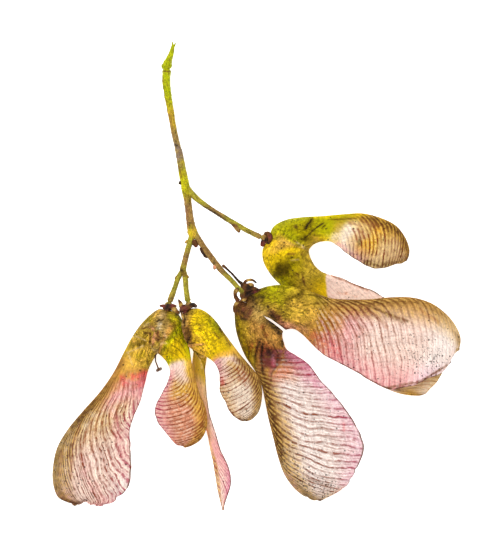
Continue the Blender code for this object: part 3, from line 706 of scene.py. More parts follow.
def winged_half(node, seam, up, stations, nut_end, veins, zones, marks,
                nut_share=1.0, camber=0.3, wave=0.3, slant=0.0, fray=0.25, speckle=0.05, specks=(),
                calm=(), bites=(), band=1.6, notches=(), slit=0.0, mottle=1.0, seed=1):
    """One winged half: a nutlet from the seam on, thinning out into a ribbed papery blade.

    Each station is a point on the rib and a point on the thin edge. A section between them has
    half thickness H * (4 c (1 - c)) ** power, where c goes from 0 at the rib to 1 at the edge,
    joined with a round bead along the rib, about a middle line that bows by the camber, waves
    along the edge, rises along the veins and puckers between them. The station less the lag at
    c gives the place on the rib that a point's vein comes from, and so its vein's phase.

    The nutlet ends at station nut_end. Zones and marks colour the skin: slant says how many
    stations sooner a zone begins at the edge, and fray how ragged its border is. Speckle is the
    share of cells with a dark speck. Each of specks raises that near a path, and each of calm
    weakens the veins there, as (path, reach, share). Each of bites pushes the skin near a path,
    as (path, push, reach), and each of notches draws the thin edge in, as (station, depth,
    reach). Band is how wide the brown bundles along the rib are, and slit how far the two halves
    of a samara have parted at the thin end of their seam.
    """
    sizes = bpy.context.scene.samara_sizes
    ends = np.asarray(seam, dtype=float)
    run = unit(ends[1] - ends[0])
    aside = unit(np.cross(run, up))
    aside = aside * np.sign(np.dot(np.mean(stations[1], axis=0) - ends.mean(axis=0), aside))
    first = ends + aside * sizes.seam_gap / MM / 2
    thickness_way = unit(np.cross(aside, run))

    place = np.linspace(0.0, len(stations), sizes.steps_along + 1)
    rib = smooth_route([first[0]] + [s[0] for s in stations], place)
    edge = smooth_route([first[1]] + [s[1] for s in stations], place)
    station = place[:, None]
    width = np.linalg.norm(edge - rib, axis=1, keepdims=True)
    face_way = unit(np.cross(np.gradient((rib + edge) / 2, axis=0), edge - rib))
    thickness_way = thickness_way * np.sign(np.dot(thickness_way, face_way[len(place) // len(stations)]))
    turned = ramp(station / TURN)
    face_way = unit((1 - turned) * thickness_way + turned * face_way)

    c = (1 - np.cos(np.pi * np.linspace(0.0, 1.0, sizes.steps_across + 1)))[None, :] / 2
    fat = 1 - ramp((station - nut_end + THIN_OUT) / THIN_OUT)
    swell = 0.9 + 0.1 * ramp(station)
    parting = slit * ramp((c - 0.48) / 0.15) * (1 - ramp(station / 0.6))
    blade_half = sizes.blade_half / MM
    high = blade_half + (sizes.nutlet_half / MM * nut_share * swell - blade_half) * fat
    power = BLADE_POWER + (NUTLET_POWER - BLADE_POWER) * fat
    plate = high * np.maximum(4 * c * (1 - c), 0.0) ** power
    bead_radius = sizes.rib_radius / MM * np.minimum(1.0, width / BEAD_WIDTH)
    bead = np.sqrt(np.maximum(bead_radius ** 2 - (c * width - bead_radius) ** 2, 0.0)) * (1 - fat)
    half_thick = np.hypot(plate, bead)

    crossing = (1 + veins.hook) * c ** veins.bend - veins.hook * c ** 3
    source = (station - veins.lag * crossing) / (1 + veins.lag_growth * crossing)
    middle = rib[:, None, :] + c[:, :, None] * (edge - rib)[:, None, :]
    middle = middle + parting[:, :, None] * aside
    phase = source * veins.per_station + layered(middle, VEIN_WANDER, seed)
    stops, levels = np.array(veins.strength).T
    strength = np.interp(station + veins.slant * (c - 0.5), stops, levels)

    inner = 4 * c * (1 - c)
    bend = camber * inner + wave * c ** 2 * np.sin(WAVES * station)
    bend = bend + sizes.pleat / MM * np.cos(2 * np.pi * phase) * np.minimum(strength, 1) * inner
    bend = bend + sizes.pucker / MM * soft_noise(middle, PUCKER_SIZE, seed + 2) * np.sqrt(inner)
    middle = middle + (bend * (1 - fat))[:, :, None] * face_way[:, None, :]

    stray = layered(edge, MARGIN_STRAY, seed + 4) * sizes.ripple / MM * (1 - fat[:, 0])
    for at, depth, reach in notches:
        stray = stray - depth * np.exp(-((place - at) / reach) ** 2)
    outward = (edge - rib) / width
    middle = middle + (stray[:, None] * c ** MARGIN_POWER)[:, :, None] * outward[:, None, :]
    for path, push, reach in bites:
        middle = middle + nearness(middle, path, reach)[..., None] * np.array([*push, 0.0])

    tilted = station + slant * (c - 0.5) + fray * soft_noise(middle, 1.6, seed + 6) * ramp(station)
    ground = zone_colours(zones, tilted, np.broadcast_to(c, middle.shape[:2]))
    ground, lift = marked(middle, ground, marks)
    up_way = face_way * np.sign(face_way[:, 2].mean())
    from_rib = np.broadcast_to(c * width, phase.shape)
    steps = np.linalg.norm(np.diff((rib + edge) / 2, axis=0), axis=1)
    along = np.broadcast_to(np.concatenate([[0.0], np.cumsum(steps)])[:, None], phase.shape)
    fibres = np.stack([along, from_rib], axis=-1)
    furrows = FIBRE_DIMPLE * soft_noise(fibres * (0.4, 1.5), 1.0, seed + 9)
    dimple = (layered(middle, NUTLET_DIMPLES, seed + 7) + furrows) * fat
    relief = (lift + dimple) * np.sqrt(np.maximum(inner, 0.0))
    offset = half_thick[:, :, None] * up_way[:, None, :]
    above = middle + offset + relief[:, :, None] * up_way[:, None, :]
    below = middle - offset + (relief * (1 - fat))[:, :, None] * up_way[:, None, :]

    def ringed(top, bottom):
        return np.concatenate([top, bottom[:, -2:0:-1]], axis=1)

    rings = ringed(above, below)
    rings[:, :, 2] = np.maximum(rings[:, :, 2], 0.0)
    grid = np.broadcast_to(c, phase.shape)
    uv = np.stack([phase, grid], axis=-1)
    for path, reach, share in calm:
        strength = strength * (1 - share * nearness(middle, path, reach))
    tint = np.array([paint(name) for name in veins.colours])
    tints = across_blend(np.broadcast_to(tint, (*grid.shape, 3, 3)), grid)
    ribbed = (1 - ramp((from_rib - 0.5) / band)) * ramp((strength + 0.1) / 0.6)
    traits = np.stack([strength, np.broadcast_to(fat, grid.shape), ribbed], axis=-1)
    speck_share = np.full((*grid.shape, 1), speckle)
    for path, reach, share in specks:
        speck_share = np.maximum(speck_share, share * nearness(middle, path, reach)[..., None])
    speck_share = np.repeat(speck_share, 3, axis=-1)
    layers = {"ground": linear(ground), "vein_tint": linear(tints), "traits": traits,
              "specks": speck_share}
    piece = put_mesh(
        node + "_skin", rings.reshape(-1, 3), loft_faces(len(place), rings.shape[1]),
        wing_material(node + "_skin", veins, mottle),
        {"veins": ringed(uv, uv).reshape(-1, 2), "fibres": ringed(fibres, fibres).reshape(-1, 2)},
        {key: ringed(value, value).reshape(-1, 3) for key, value in layers.items()})
    stand_for(piece, node)


class SAMARAS_OT_upper(bpy.types.Operator):
    """Build the samara at the upper right: a curled half, and one whose wing runs underneath"""
    bl_idname = "samaras.upper"
    bl_label = "Upper samara"

    def execute(self, context):
        seam = ((2.3, 7.3, 2.7), (9.9, 4.7, 2.6))
        up = (0, 0, 1)
        winged_half("upper_samara_top", seam, up, [
            ((3.2, 9.4, 2.7), (10.1, 5.2, 2.6)),
            ((5.6, 10.7, 2.7), (10.9, 6.0, 2.6)),
            ((8.8, 11.2, 2.8), (12.3, 6.5, 2.7)),
            ((12.5, 11.4, 3.0), (14.2, 6.5, 2.8)),
            ((16.5, 11.75, 3.4), (15.8, 5.4, 2.7)),
            ((20.0, 11.9, 3.8), (17.6, 4.0, 2.5)),
            ((23.3, 11.1, 4.0), (19.6, 2.7, 2.2)),
            ((26.2, 9.7, 3.9), (21.3, 1.7, 1.9)),
            ((28.0, 7.6, 3.5), (23.5, 1.5, 1.6)),
            ((28.9, 5.4, 2.9), (25.3, 1.85, 1.5)),
            ((28.9, 3.9, 2.3), (26.8, 2.3, 1.6)),
            ((28.5, 2.9, 2.0), (27.7, 2.5, 1.8)),
        ], nut_end=4.9, veins=Veins(
            lag=2.6, bend=0.62, per_station=2.9, colours=("umber", "rust", "umber"),
            strength=((4.2, 0.0), (5.6, 0.5), (6.6, 1.0)), slant=0.6, forks=(0.4, 0.0), thick=0.2,
            # The golden blade's painted highlights are in glow
            light="glow"), zones=[
            (0.0, "lime", "gold", "gold"),
            (0.9, "lime", "lime", "olive"),
            (2.6, "lime", "leaf", "olive"),
            (4.0, "lime", "lime", "yellow"),
            (4.8, "lime", "olive", "straw"),
            (5.5, "yellow", "cream", "blush"),
            (6.3, "amber", "straw", "blush"),
            (7.0, "amber", "amber", "rose"),
            (8.5, "ochre", "straw", "straw"),
            (10.0, "ochre", "straw", "straw"),
            (12.0, "ochre", "straw", "ochre"),
        ], marks=[
            Mark(((9.3, 9.1), (9.85, 9.9), (10.5, 10.8)), 0.32, "moss", 1.0, -0.1),
            Mark(((9.4, 9.3), (10.4, 10.7)), 0.16, "ink", 1.0, -0.1),
            Mark(((9.2, 7.3), (10.9, 8.9), (12.7, 10.1)), 0.14, "ink", 1.0, -0.1),
            Mark(((12.4, 9.1), (13.1, 9.7)), 0.13, "moss", 0.9, -0.1),
            Mark(((7.45, 9.4),), 0.24, "ink", 1.0),
            Mark(((8.3, 7.2), (9.2, 7.1)), 0.5, "moss", 0.95),
            Mark(((7.6, 6.4), (8.8, 5.6)), 0.28, "blush", 0.7, 0.1),
            Mark(((6.8, 6.7), (7.5, 6.5)), 0.2, "umber", 0.7),
            Mark(((3.2, 6.9), (6.0, 6.0), (9.2, 5.0)), 0.6, "tan", 0.5),
            Mark(((10.6, 7.4), (12.6, 7.0)), 0.5, "ochre", 0.5),
            Mark(((3.6, 9.2), (5.0, 10.0), (8.0, 10.8)), 1.0, "lime", 0.8),
            Mark(((11.0, 11.2), (15.5, 11.4), (19.5, 11.6)), 0.4, "yellow", 0.6),
            Mark(((13.6, 10.7), (19.0, 10.9)), 0.14, "umber", 0.6),
            Mark(((14.4, 7.2), (16.6, 8.6)), 0.9, "cream", 0.8),
            Mark(((15.6, 6.0), (17.8, 4.4), (19.6, 3.1)), 0.4, "rose", 0.7),
            # A painted highlight in glow between the brown veins near the rib
            Mark(((18.4, 9.6), (20.6, 9.0)), 0.5, "glow", 0.7),
            Mark(((18.2, 8.9), (18.7, 8.0), (19.0, 7.0)), 0.16, "rust", 0.8),
            Mark(((19.2, 8.9), (20.0, 8.2), (20.3, 7.2)), 0.18, "rust", 0.8),
            Mark(((17.6, 10.2), (19.6, 9.4)), 0.3, "rust", 0.5),
            Mark(((20.0, 10.9), (23.0, 9.4)), 0.6, "rust", 0.6),
            Mark(((19.4, 6.5), (19.4, 6.0)), 0.45, "ink", 1.0, -0.3),
            Mark(((22.0, 11.0), (26.5, 8.8)), 0.8, "umber", 0.6),
            Mark(((20.5, 2.6), (23.5, 1.9), (28.0, 3.0)), 0.45, "umber", 0.8),
            Mark(((27.3, 3.4), (27.6, 5.4)), 0.3, "umber", 0.8),
        ], slant=0.8, seed=11, speckle=0.08, mottle=0.6)
        winged_half("upper_samara_under", seam, up, [
            ((1.1, 5.0, 2.3), (10.0, 4.1, 2.4)),
            ((1.3, 2.6, 2.2), (10.4, 3.1, 2.3)),
            ((2.7, 0.2, 2.1), (11.2, 1.8, 2.2)),
            ((4.8, -2.0, 1.9), (12.5, 0.75, 2.0)),
            ((7.6, -4.6, 1.5), (14.2, 0.2, 1.7)),
            ((10.6, -7.6, 1.0), (17.2, -0.9, 1.3)),
            ((14.2, -11.4, 0.8), (21.0, -2.4, 1.0)),
            ((18.0, -15.3, 0.7), (26.0, -5.0, 0.9)),
            ((21.6, -18.8, 0.6), (31.0, -9.0, 0.9)),
            ((24.4, -21.2, 0.55), (34.4, -13.6, 0.9)),
            ((26.6, -22.2, 0.5), (35.6, -17.2, 0.8)),
            ((28.8, -22.65, 0.45), (34.4, -19.7, 0.7)),
            ((30.6, -22.75, 0.45), (32.7, -21.7, 0.5)),
            ((31.2, -22.7, 0.45), (32.0, -22.4, 0.45)),
        ], nut_end=6.3, veins=Veins(
            lag=2.6, bend=0.7, per_station=2.6, colours=("rust", "salmon", "rust"),
            strength=((5.5, 0.0), (6.5, 0.12), (9.0, 0.3), (11.0, 0.7)), slant=1.3,
            forks=(0.4, 0.2)), zones=[
            (0.0, "yellow", "gold", "gold"),
            (0.9, "yellow", "yellow", "olive"),
            (2.6, "lime", "leaf", "olive"),
            (4.2, "lime", "olive", "olive"),
            (5.8, "olive", "yellow", "olive"),
            (5.95, "blush", "blush", "blush"),
            (9.0, "blush", "cream", "blush"),
            (11.0, "gold", "straw", "gold"),
            (14.0, "straw", "cream", "straw"),
        ], marks=[
            Mark(((3.9, 0.8), (5.4, 1.6)), 1.2, "moss", 1.0),
            Mark(((4.3, 1.0), (5.2, 1.4)), 0.8, "moss", 1.0),
            Mark(((8.5, 0.9), (9.0, -1.4)), 0.22, "umber", 0.9, -0.1),
            Mark(((7.6, 0.7), (7.9, 0.5)), 0.18, "umber", 0.8),
            Mark(((5.6, 4.35), (7.1, 4.4)), 0.28, "umber", 0.7, -0.1),
            Mark(((6.7, 3.7),), 0.18, "ink", 1.0),
            Mark(((8.6, 4.15),), 0.25, "umber", 0.8),
            Mark(((2.0, 5.6), (3.5, 4.6)), 0.5, "amber", 0.6),
            Mark(((6.6, 3.1), (7.9, 3.2)), 0.16, "straw", 0.7, 0.1),
            Mark(((17.0, -3.1),), 0.25, "rust", 0.8),
            Mark(((14.2, 0.1), (17.2, -1.1), (21.0, -2.6)), 0.14, "rust", 0.8),
            Mark(((15.5, -3.2), (19.0, -3.8)), 0.2, "salmon", 0.4),
        ], camber=0.1, wave=0.1, slant=2.7, fray=0.04, seed=23, speckle=0.03, mottle=0.5)
        return {"FINISHED"}


class SAMARAS_OT_left(bpy.types.Operator):
    """Build the samara at the left: a long flat half, and a short one over its neighbour"""
    bl_idname = "samaras.left"
    bl_label = "Left samara"

    def execute(self, context):
        seam = ((-16.9, -6.5, 3.0), (-18.75, -14.7, 2.8))
        up = (0, 0, 1)
        winged_half("left_samara_outer", seam, up, [
            ((-18.8, -6.35, 2.6), (-19.3, -15.4, 2.5)),
            ((-21.4, -8.5, 2.3), (-20.0, -16.6, 2.3)),
            ((-23.5, -11.3, 2.1), (-20.7, -18.3, 2.1)),
            ((-25.2, -14.4, 2.0), (-21.2, -20.6, 1.9)),
            ((-27.2, -18.3, 1.9), (-21.8, -23.0, 1.7)),
            ((-29.7, -21.9, 2.1), (-22.8, -25.6, 1.6)),
            ((-32.8, -25.4, 1.9), (-23.8, -28.2, 1.3)),
            ((-35.8, -29.0, 1.6), (-23.95, -31.0, 1.1)),
            ((-37.9, -32.6, 1.3), (-23.85, -34.2, 0.9)),
            ((-38.7, -36.3, 1.0), (-23.9, -37.4, 0.7)),
            ((-38.7, -39.3, 0.7), (-24.5, -40.0, 0.55)),
            ((-37.9, -41.8, 0.5), (-25.6, -41.6, 0.5)),
            ((-36.4, -42.8, 0.4), (-27.3, -43.0, 0.45)),
            ((-34.8, -43.1, 0.4), (-29.6, -43.4, 0.4)),
            ((-33.3, -41.9, 0.4), (-32.2, -42.3, 0.4)),
        ], nut_end=5.0, veins=Veins(
            lag=0.0, lag_growth=2.35, bend=0.8, per_station=2.8, colours=("umber", "rust", "wine"),
            strength=((4.0, 0.0), (5.2, 0.7), (6.5, 1.0)), slant=2.2, forks=(0.9, 0.5)), zones=[
            (0.0, "tan", "tan", "tan"),
            (1.0, "olive", "olive", "tan"),
            (2.6, "olive", "gold", "olive"),
            (3.7, "ochre", "gold", "olive"),
            (4.4, "ochre", "ochre", "crimson"),
            (4.9, "ochre", "salmon", "crimson"),
            (5.6, "ochre", "rose", "rose"),
            (7.0, "straw", "straw", "blush"),
            (9.5, "straw", "blush", "blush"),
            (12.0, "salmon", "blush", "pearl"),
            (15.0, "straw", "rose", "rose"),
        ], marks=[
            Mark(((-21.5, -9.6), (-18.5, -9.6)), 1.2, "bark", 0.6),
            Mark(((-20.9, -7.9), (-20.0, -8.3)), 0.5, "leaf", 0.8),
            Mark(((-18.3, -6.6), (-19.3, -7.7), (-19.6, -8.7)), 0.3, "gold", 0.9, 0.18),
            Mark(((-17.6, -7.2), (-18.2, -7.9)), 0.25, "straw", 0.9, 0.12),
            Mark(((-18.5, -8.5), (-17.6, -8.1)), 0.18, "ink", 1.0, -0.2),
            Mark(((-18.1, -8.9), (-18.5, -9.8)), 0.3, "cream", 0.8, 0.1),
            Mark(((-20.9, -9.2), (-20.2, -9.0)), 0.25, "blush", 0.6, 0.1),
            Mark(((-21.3, -9.9), (-19.9, -9.5)), 0.2, "umber", 0.9, -0.1),
            Mark(((-21.0, -10.6), (-19.9, -10.9)), 0.2, "umber", 0.8, -0.1),
            Mark(((-19.35, -9.9), (-19.0, -10.8), (-19.2, -11.8), (-19.4, -12.8)), 0.4, "salmon", 1.0, 0.2),
            # A groove on the fold's left side, darkened with painted shade
            Mark(((-19.95, -10.8), (-19.95, -13.0)), 0.18, "umber", 0.9, -0.12),
            Mark(((-18.5, -10.4), (-18.5, -12.2)), 0.2, "maroon", 0.9, -0.12),
            Mark(((-19.7, -13.1), (-19.4, -13.8), (-18.7, -14.4)), 0.2, "straw", 0.9, 0.12),
            Mark(((-23.2, -12.9), (-21.2, -12.8)), 0.7, "moss", 0.7),
            Mark(((-23.3, -12.3),), 0.35, "ochre", 0.8),
            Mark(((-23.8, -11.6), (-22.7, -11.4), (-21.7, -11.7), (-20.6, -12.3)), 0.16, "straw", 1.0, 0.15),
            Mark(((-24.6, -14.5), (-23.3, -14.0), (-22.3, -13.6), (-21.2, -13.2)), 0.16, "straw", 1.0, 0.15),
            Mark(((-23.6, -16.8), (-24.3, -14.6)), 0.2, "straw", 0.7, 0.1),
            Mark(((-22.6, -15.0), (-21.4, -14.6)), 0.7, "leaf", 0.6),
            Mark(((-25.6, -19.2), (-24.9, -20.6)), 0.5, "crimson", 0.9),
            Mark(((-23.4, -19.3), (-21.2, -18.6)), 0.5, "crimson", 0.9),
            Mark(((-24.2, -19.2),), 0.4, "gold", 0.8),
            Mark(((-24.0, -20.4), (-21.3, -20.2)), 0.9, "orchid", 0.5),
            Mark(((-25.5, -16.0), (-30.0, -22.4), (-35.0, -29.0)), 0.6, "umber", 0.5),
            Mark(((-28.0, -21.5), (-31.5, -27.0)), 0.8, "gold", 0.5),
            Mark(((-31.0, -26.0), (-32.5, -29.0)), 0.7, "cream", 0.7),
            Mark(((-27.2, -25.5), (-26.6, -30.0), (-25.2, -34.0)), 0.7, "rose", 0.8),
            Mark(((-33.4, -34.0), (-32.2, -38.0), (-29.8, -42.0)), 0.8, "rose", 0.8),
            Mark(((-26.6, -26.5), (-26.2, -29.6)), 0.22, "wine", 0.5),
            Mark(((-33.4, -28.0), (-35.0, -32.0), (-35.3, -38.0)), 0.3, "rust", 0.55),
            Mark(((-31.4, -27.4), (-33.0, -31.6), (-33.4, -36.6)), 0.26, "rust", 0.55),
            Mark(((-29.6, -25.6), (-31.0, -29.6), (-31.4, -33.4)), 0.26, "rust", 0.45),
            Mark(((-37.0, -33.0), (-37.4, -38.0)), 0.3, "salmon", 0.6),
            Mark(((-35.3, -32.0), (-35.8, -34.5)), 0.3, "umber", 0.6),
            Mark(((-38.0, -42.0), (-36.0, -43.0), (-33.0, -43.0)), 0.3, "umber", 0.7),
        ], slant=2.2, seed=31, speckle=0.04, notches=((12.3, 0.45, 0.25), (13.5, 0.3, 0.2)),
            specks=((((-34.0, -38.0), (-31.0, -40.5)), 2.2, 0.3),),
            bites=((((-32.5, -43.4),), (0.0, 0.75), 0.75), (((-31.0, -43.6),), (0.0, 0.3), 0.4)))
        winged_half("left_samara_inner", seam, up, [
            ((-15.2, -6.9, 3.0), (-18.2, -15.1, 2.8)),
            ((-14.0, -8.6, 3.0), (-17.6, -15.7, 2.9)),
            ((-13.3, -10.8, 3.2), (-17.0, -16.4, 3.2)),
            ((-12.8, -13.6, 3.7), (-16.5, -17.4, 3.7)),
            ((-12.3, -16.4, 4.4), (-16.4, -18.7, 4.2)),
            ((-11.7, -19.0, 5.0), (-16.9, -20.5, 4.5)),
            ((-10.9, -22.0, 5.4), (-18.0, -22.3, 4.5)),
            ((-9.8, -24.6, 5.4), (-19.0, -24.0, 4.2)),
            ((-9.35, -27.0, 5.1), (-19.2, -26.0, 3.8)),
            ((-9.6, -29.2, 4.7), (-18.6, -28.0, 3.4)),
            ((-10.6, -31.0, 4.1), (-17.3, -29.6, 3.1)),
            ((-12.2, -32.1, 3.5), (-16.0, -31.1, 2.9)),
            ((-13.6, -32.55, 3.0), (-14.9, -32.1, 2.8)),
        ], nut_end=5.0, veins=Veins(
            lag=3.0, bend=0.5, hook=0.25, per_station=2.7, colours=("rust", "rust", "wine"),
            strength=((4.2, 0.0), (5.4, 0.6), (6.2, 1.0)), slant=0.6, forks=(0.5, 0.2),
            thick=0.17), zones=[
            (0.0, "olive", "tan", "tan"),
            (0.7, "lime", "ochre", "ochre"),
            (1.6, "lime", "lime", "olive"),
            (2.8, "lime", "yellow", "yellow"),
            (4.0, "lime", "yellow", "lime"),
            (4.6, "amber", "blush", "blush"),
            (5.4, "amber", "blush", "rose"),
            (6.6, "amber", "gold", "rose"),
            (8.5, "amber", "salmon", "rose"),
            (11.0, "amber", "salmon", "rose"),
            (13.0, "ochre", "salmon", "salmon"),
        ], marks=[
            Mark(((-16.9, -7.6), (-17.0, -9.5)), 0.4, "bark", 0.7),
            Mark(((-17.5, -10.8), (-17.1, -11.7)), 0.3, "blush", 0.5, 0.1),
            Mark(((-18.2, -12.8), (-17.6, -12.5), (-16.9, -12.75)), 0.22, "straw", 1.0, 0.12),
            Mark(((-16.4, -7.5), (-15.9, -8.6)), 0.5, "lime", 0.8),
            # A painted shadow at the top of the nutlet, in moss green
            Mark(((-15.1, -7.1), (-14.2, -7.7)), 0.35, "moss", 0.9),
            Mark(((-15.2, -10.6), (-14.2, -11.3), (-13.4, -12.8)), 0.08, "moss", 0.7, -0.08),
            Mark(((-15.5, -11.8), (-14.0, -13.0), (-13.2, -14.8)), 0.07, "moss", 0.7, -0.08),
            Mark(((-15.8, -13.2), (-14.4, -14.2), (-13.0, -16.2)), 0.08, "moss", 0.7, -0.08),
            Mark(((-16.0, -14.6), (-14.8, -15.2), (-13.8, -16.6)), 0.07, "moss", 0.6, -0.08),
            Mark(((-15.9, -8.9), (-15.4, -9.6)), 0.3, "moss", 0.6),
            Mark(((-12.9, -18.0), (-11.8, -22.0)), 0.8, "gold", 0.7),
            Mark(((-15.2, -17.9), (-14.5, -20.0)), 0.9, "blush", 0.7),
            Mark(((-13.6, -15.4), (-12.6, -18.8)), 0.5, "yellow", 0.6),
            Mark(((-10.4, -22.4), (-9.8, -27.0)), 0.45, "rust", 0.5),
            Mark(((-16.6, -19.4), (-17.6, -21.2), (-19.0, -23.6)), 0.5, "orchid", 0.7),
            Mark(((-12.4, -21.5), (-11.4, -25.5)), 1.0, "amber", 0.5),
            Mark(((-13.2, -22.5),), 0.5, "salmon", 0.6),
            Mark(((-11.6, -29.6), (-10.2, -28.0)), 0.5, "rust", 0.6),
            Mark(((-10.0, -27.5), (-11.0, -30.8), (-13.0, -32.2)), 0.4, "umber", 0.6),
        ], slant=1.2, seed=43, speckle=0.04, band=0.8)
        return {"FINISHED"}


class SAMARAS_OT_middle(bpy.types.Operator):
    """Build the middle samara: one half above the other, whose wing stands nearly on its rib"""
    bl_idname = "samaras.middle"
    bl_label = "Middle samara"

    def execute(self, context):
        seam = ((-12.9, -6.2, 4.7), (-11.7, -13.9, 4.2))
        up = (0.85, 0, -0.53)
        winged_half("middle_samara_front", seam, up, [
            ((-11.2, -6.15, 5.6), (-10.9, -14.4, 5.0)),
            ((-9.45, -6.95, 6.3), (-10.4, -14.8, 5.5)),
            ((-7.75, -8.55, 6.6), (-9.9, -15.1, 5.8)),
            ((-6.25, -10.65, 6.6), (-9.3, -15.4, 5.9)),
            ((-4.6, -12.9, 6.3), (-8.5, -15.9, 5.7)),
            ((-2.9, -15.1, 5.8), (-7.7, -16.8, 5.1)),
            ((-1.2, -17.1, 5.3), (-7.2, -18.3, 4.5)),
            ((0.3, -19.0, 4.8), (-7.0, -20.2, 4.0)),
            ((1.0, -21.3, 4.4), (-6.8, -22.0, 3.6)),
            ((0.95, -23.6, 4.0), (-6.1, -24.0, 3.3)),
            ((0.4, -25.7, 3.6), (-5.0, -26.0, 3.1)),
            ((-0.8, -27.1, 3.3), (-3.7, -27.1, 3.0)),
            ((-1.9, -27.55, 3.1), (-2.7, -27.55, 3.0)),
        ], nut_end=5.6, veins=Veins(
            lag=2.6, bend=0.5, hook=0.2, per_station=3.0, colours=("umber", "rust", "rust"),
            strength=((5.0, 0.0), (6.0, 0.7), (6.8, 1.0)), slant=0.4, forks=(0.45, 0.2),
            thick=0.17), zones=[
            (0.0, "umber", "bark", "ochre"),
            (0.7, "olive", "ochre", "gold"),
            (1.4, "yellow", "yellow", "amber"),
            (3.0, "lime", "yellow", "amber"),
            (4.6, "olive", "yellow", "yellow"),
            (5.4, "gold", "amber", "amber"),
            (5.9, "gold", "blush", "rose"),
            (7.2, "ochre", "straw", "rose"),
            (9.0, "ochre", "cream", "straw"),
            (11.0, "straw", "cream", "straw"),
            (13.0, "ochre", "straw", "ochre"),
        ], marks=[
            Mark(((-12.8, -7.2), (-12.0, -9.8)), 0.6, "umber", 0.7, -0.1),
            Mark(((-13.0, -7.2), (-12.7, -8.4), (-12.2, -9.0)), 0.2, "tan", 0.9, 0.15),
            Mark(((-12.5, -7.0), (-11.8, -7.9), (-11.6, -8.9)), 0.18, "tan", 0.9, 0.12),
            Mark(((-12.3, -7.9), (-11.9, -9.0)), 0.14, "ink", 0.9, -0.15),
            Mark(((-11.5, -10.2), (-11.2, -12.3)), 0.5, "umber", 0.9, -0.15),
            Mark(((-11.1, -11.1), (-11.6, -12.2)), 0.16, "ink", 0.9, -0.15),
            Mark(((-11.9, -12.6), (-10.7, -12.5)), 0.16, "ink", 0.8, -0.15),
            Mark(((-12.3, -10.2), (-12.0, -11.2), (-12.1, -12.2)), 0.16, "salmon", 0.8, 0.1),
            Mark(((-12.0, -13.1), (-10.9, -13.0), (-9.6, -12.8)), 0.26, "salmon", 0.9, 0.15),
            Mark(((-11.6, -13.6), (-9.6, -13.6)), 0.4, "amber", 0.7),
            Mark(((-10.3, -11.2), (-10.0, -12.0)), 0.5, "ochre", 0.6),
            Mark(((-9.9, -9.95),), 0.2, "ink", 0.9),
            Mark(((-7.75, -10.5), (-7.1, -11.6)), 0.14, "umber", 0.8),
            Mark(((-6.9, -9.9), (-5.9, -11.6), (-5.0, -13.0)), 0.16, "umber", 0.8),
            Mark(((-7.8, -16.4), (-7.1, -19.8)), 0.65, "orchid", 1.0),
            Mark(((-7.0, -16.8), (-6.5, -20.0)), 0.5, "rose", 0.6),
            Mark(((-6.2, -17.4), (-5.9, -19.0)), 0.6, "blush", 0.8),
            Mark(((-6.6, -19.3), (-6.5, -20.4)), 0.35, "crimson", 0.8),
            Mark(((-3.5, -15.8), (-1.2, -18.5), (0.2, -21.5)), 0.6, "umber", 0.6),
            Mark(((-5.0, -16.4), (-3.6, -17.6)), 0.5, "gold", 0.6),
            Mark(((-3.6, -17.4), (-3.2, -19.6)), 0.3, "rust", 0.7),
            Mark(((-2.4, -18.4), (-2.2, -20.6)), 0.4, "rust", 0.7),
            Mark(((-3.3, -25.4), (-2.5, -25.0), (-1.9, -25.2)), 0.16, "umber", 0.9),
            Mark(((-6.0, -24.4), (-4.0, -26.9), (-2.0, -27.5)), 0.2, "ink", 0.8),
        ], slant=0.4, seed=53, speckle=0.12, specks=((((-4.0, -25.5), (-1.5, -26.0)), 1.2, 0.4),))
        winged_half("middle_samara_back", seam, up, [
            ((-11.8, -6.9, 3.1), (-10.9, -14.3, 3.1)),
            ((-11.7, -8.5, 1.9), (-10.6, -14.9, 2.6)),
            ((-11.6, -10.7, 1.2), (-10.1, -15.6, 2.6)),
            ((-11.7, -13.3, 1.0), (-9.8, -16.7, 2.8)),
            ((-12.1, -16.1, 0.9), (-9.8, -18.3, 3.2)),
            ((-12.1, -19.2, 0.7), (-9.7, -20.5, 3.3)),
            ((-11.2, -22.6, 0.45), (-9.3, -23.2, 3.6)),
            ((-10.2, -26.0, 0.25), (-8.9, -26.2, 4.4)),
            ((-9.1, -29.4, 0.05), (-8.1, -29.4, 5.4)),
            ((-8.4, -32.8, 0.0), (-7.0, -32.6, 6.3)),
            ((-7.85, -36.0, 0.0), (-5.3, -35.9, 6.8)),
            ((-7.3, -39.0, 0.3), (-5.0, -38.7, 6.5)),
            ((-6.9, -41.6, 0.8), (-5.5, -41.3, 5.4)),
            ((-6.55, -43.4, 1.6), (-5.95, -43.2, 4.3)),
            ((-6.3, -44.4, 2.5), (-6.2, -44.4, 3.2)),
        ], nut_end=5.2, veins=Veins(
            lag=2.6, bend=0.7, per_station=2.4, colours=("rust", "wine", "wine"),
            strength=((6.0, 0.0), (8.5, 0.5), (10.0, 1.0)), forks=(0.7, 0.0), thick=0.15), zones=[
            (0.0, "olive", "olive", "olive"),
            (4.0, "olive", "olive", "olive"),
            (5.4, "straw", "olive", "olive"),
            (6.4, "salmon", "straw", "straw"),
            (8.5, "salmon", "straw", "blush"),
            (10.0, "straw", "rose", "rose"),
            (12.5, "straw", "blush", "orchid"),
            (15.0, "cream", "cream", "straw"),
        ], marks=[
            Mark(((-10.4, -14.4), (-10.2, -17.5)), 0.2, "straw", 0.8),
            Mark(((-8.2, -34.6),), 0.3, "umber", 0.7),
        ], nut_share=0.71, camber=0.2, wave=0.15, band=0.5, seed=67, speckle=0.04,
            calm=((((-12.1, -17.0), (-10.4, -26.0), (-8.4, -33.0)), 0.9, 0.9),))
        return {"FINISHED"}


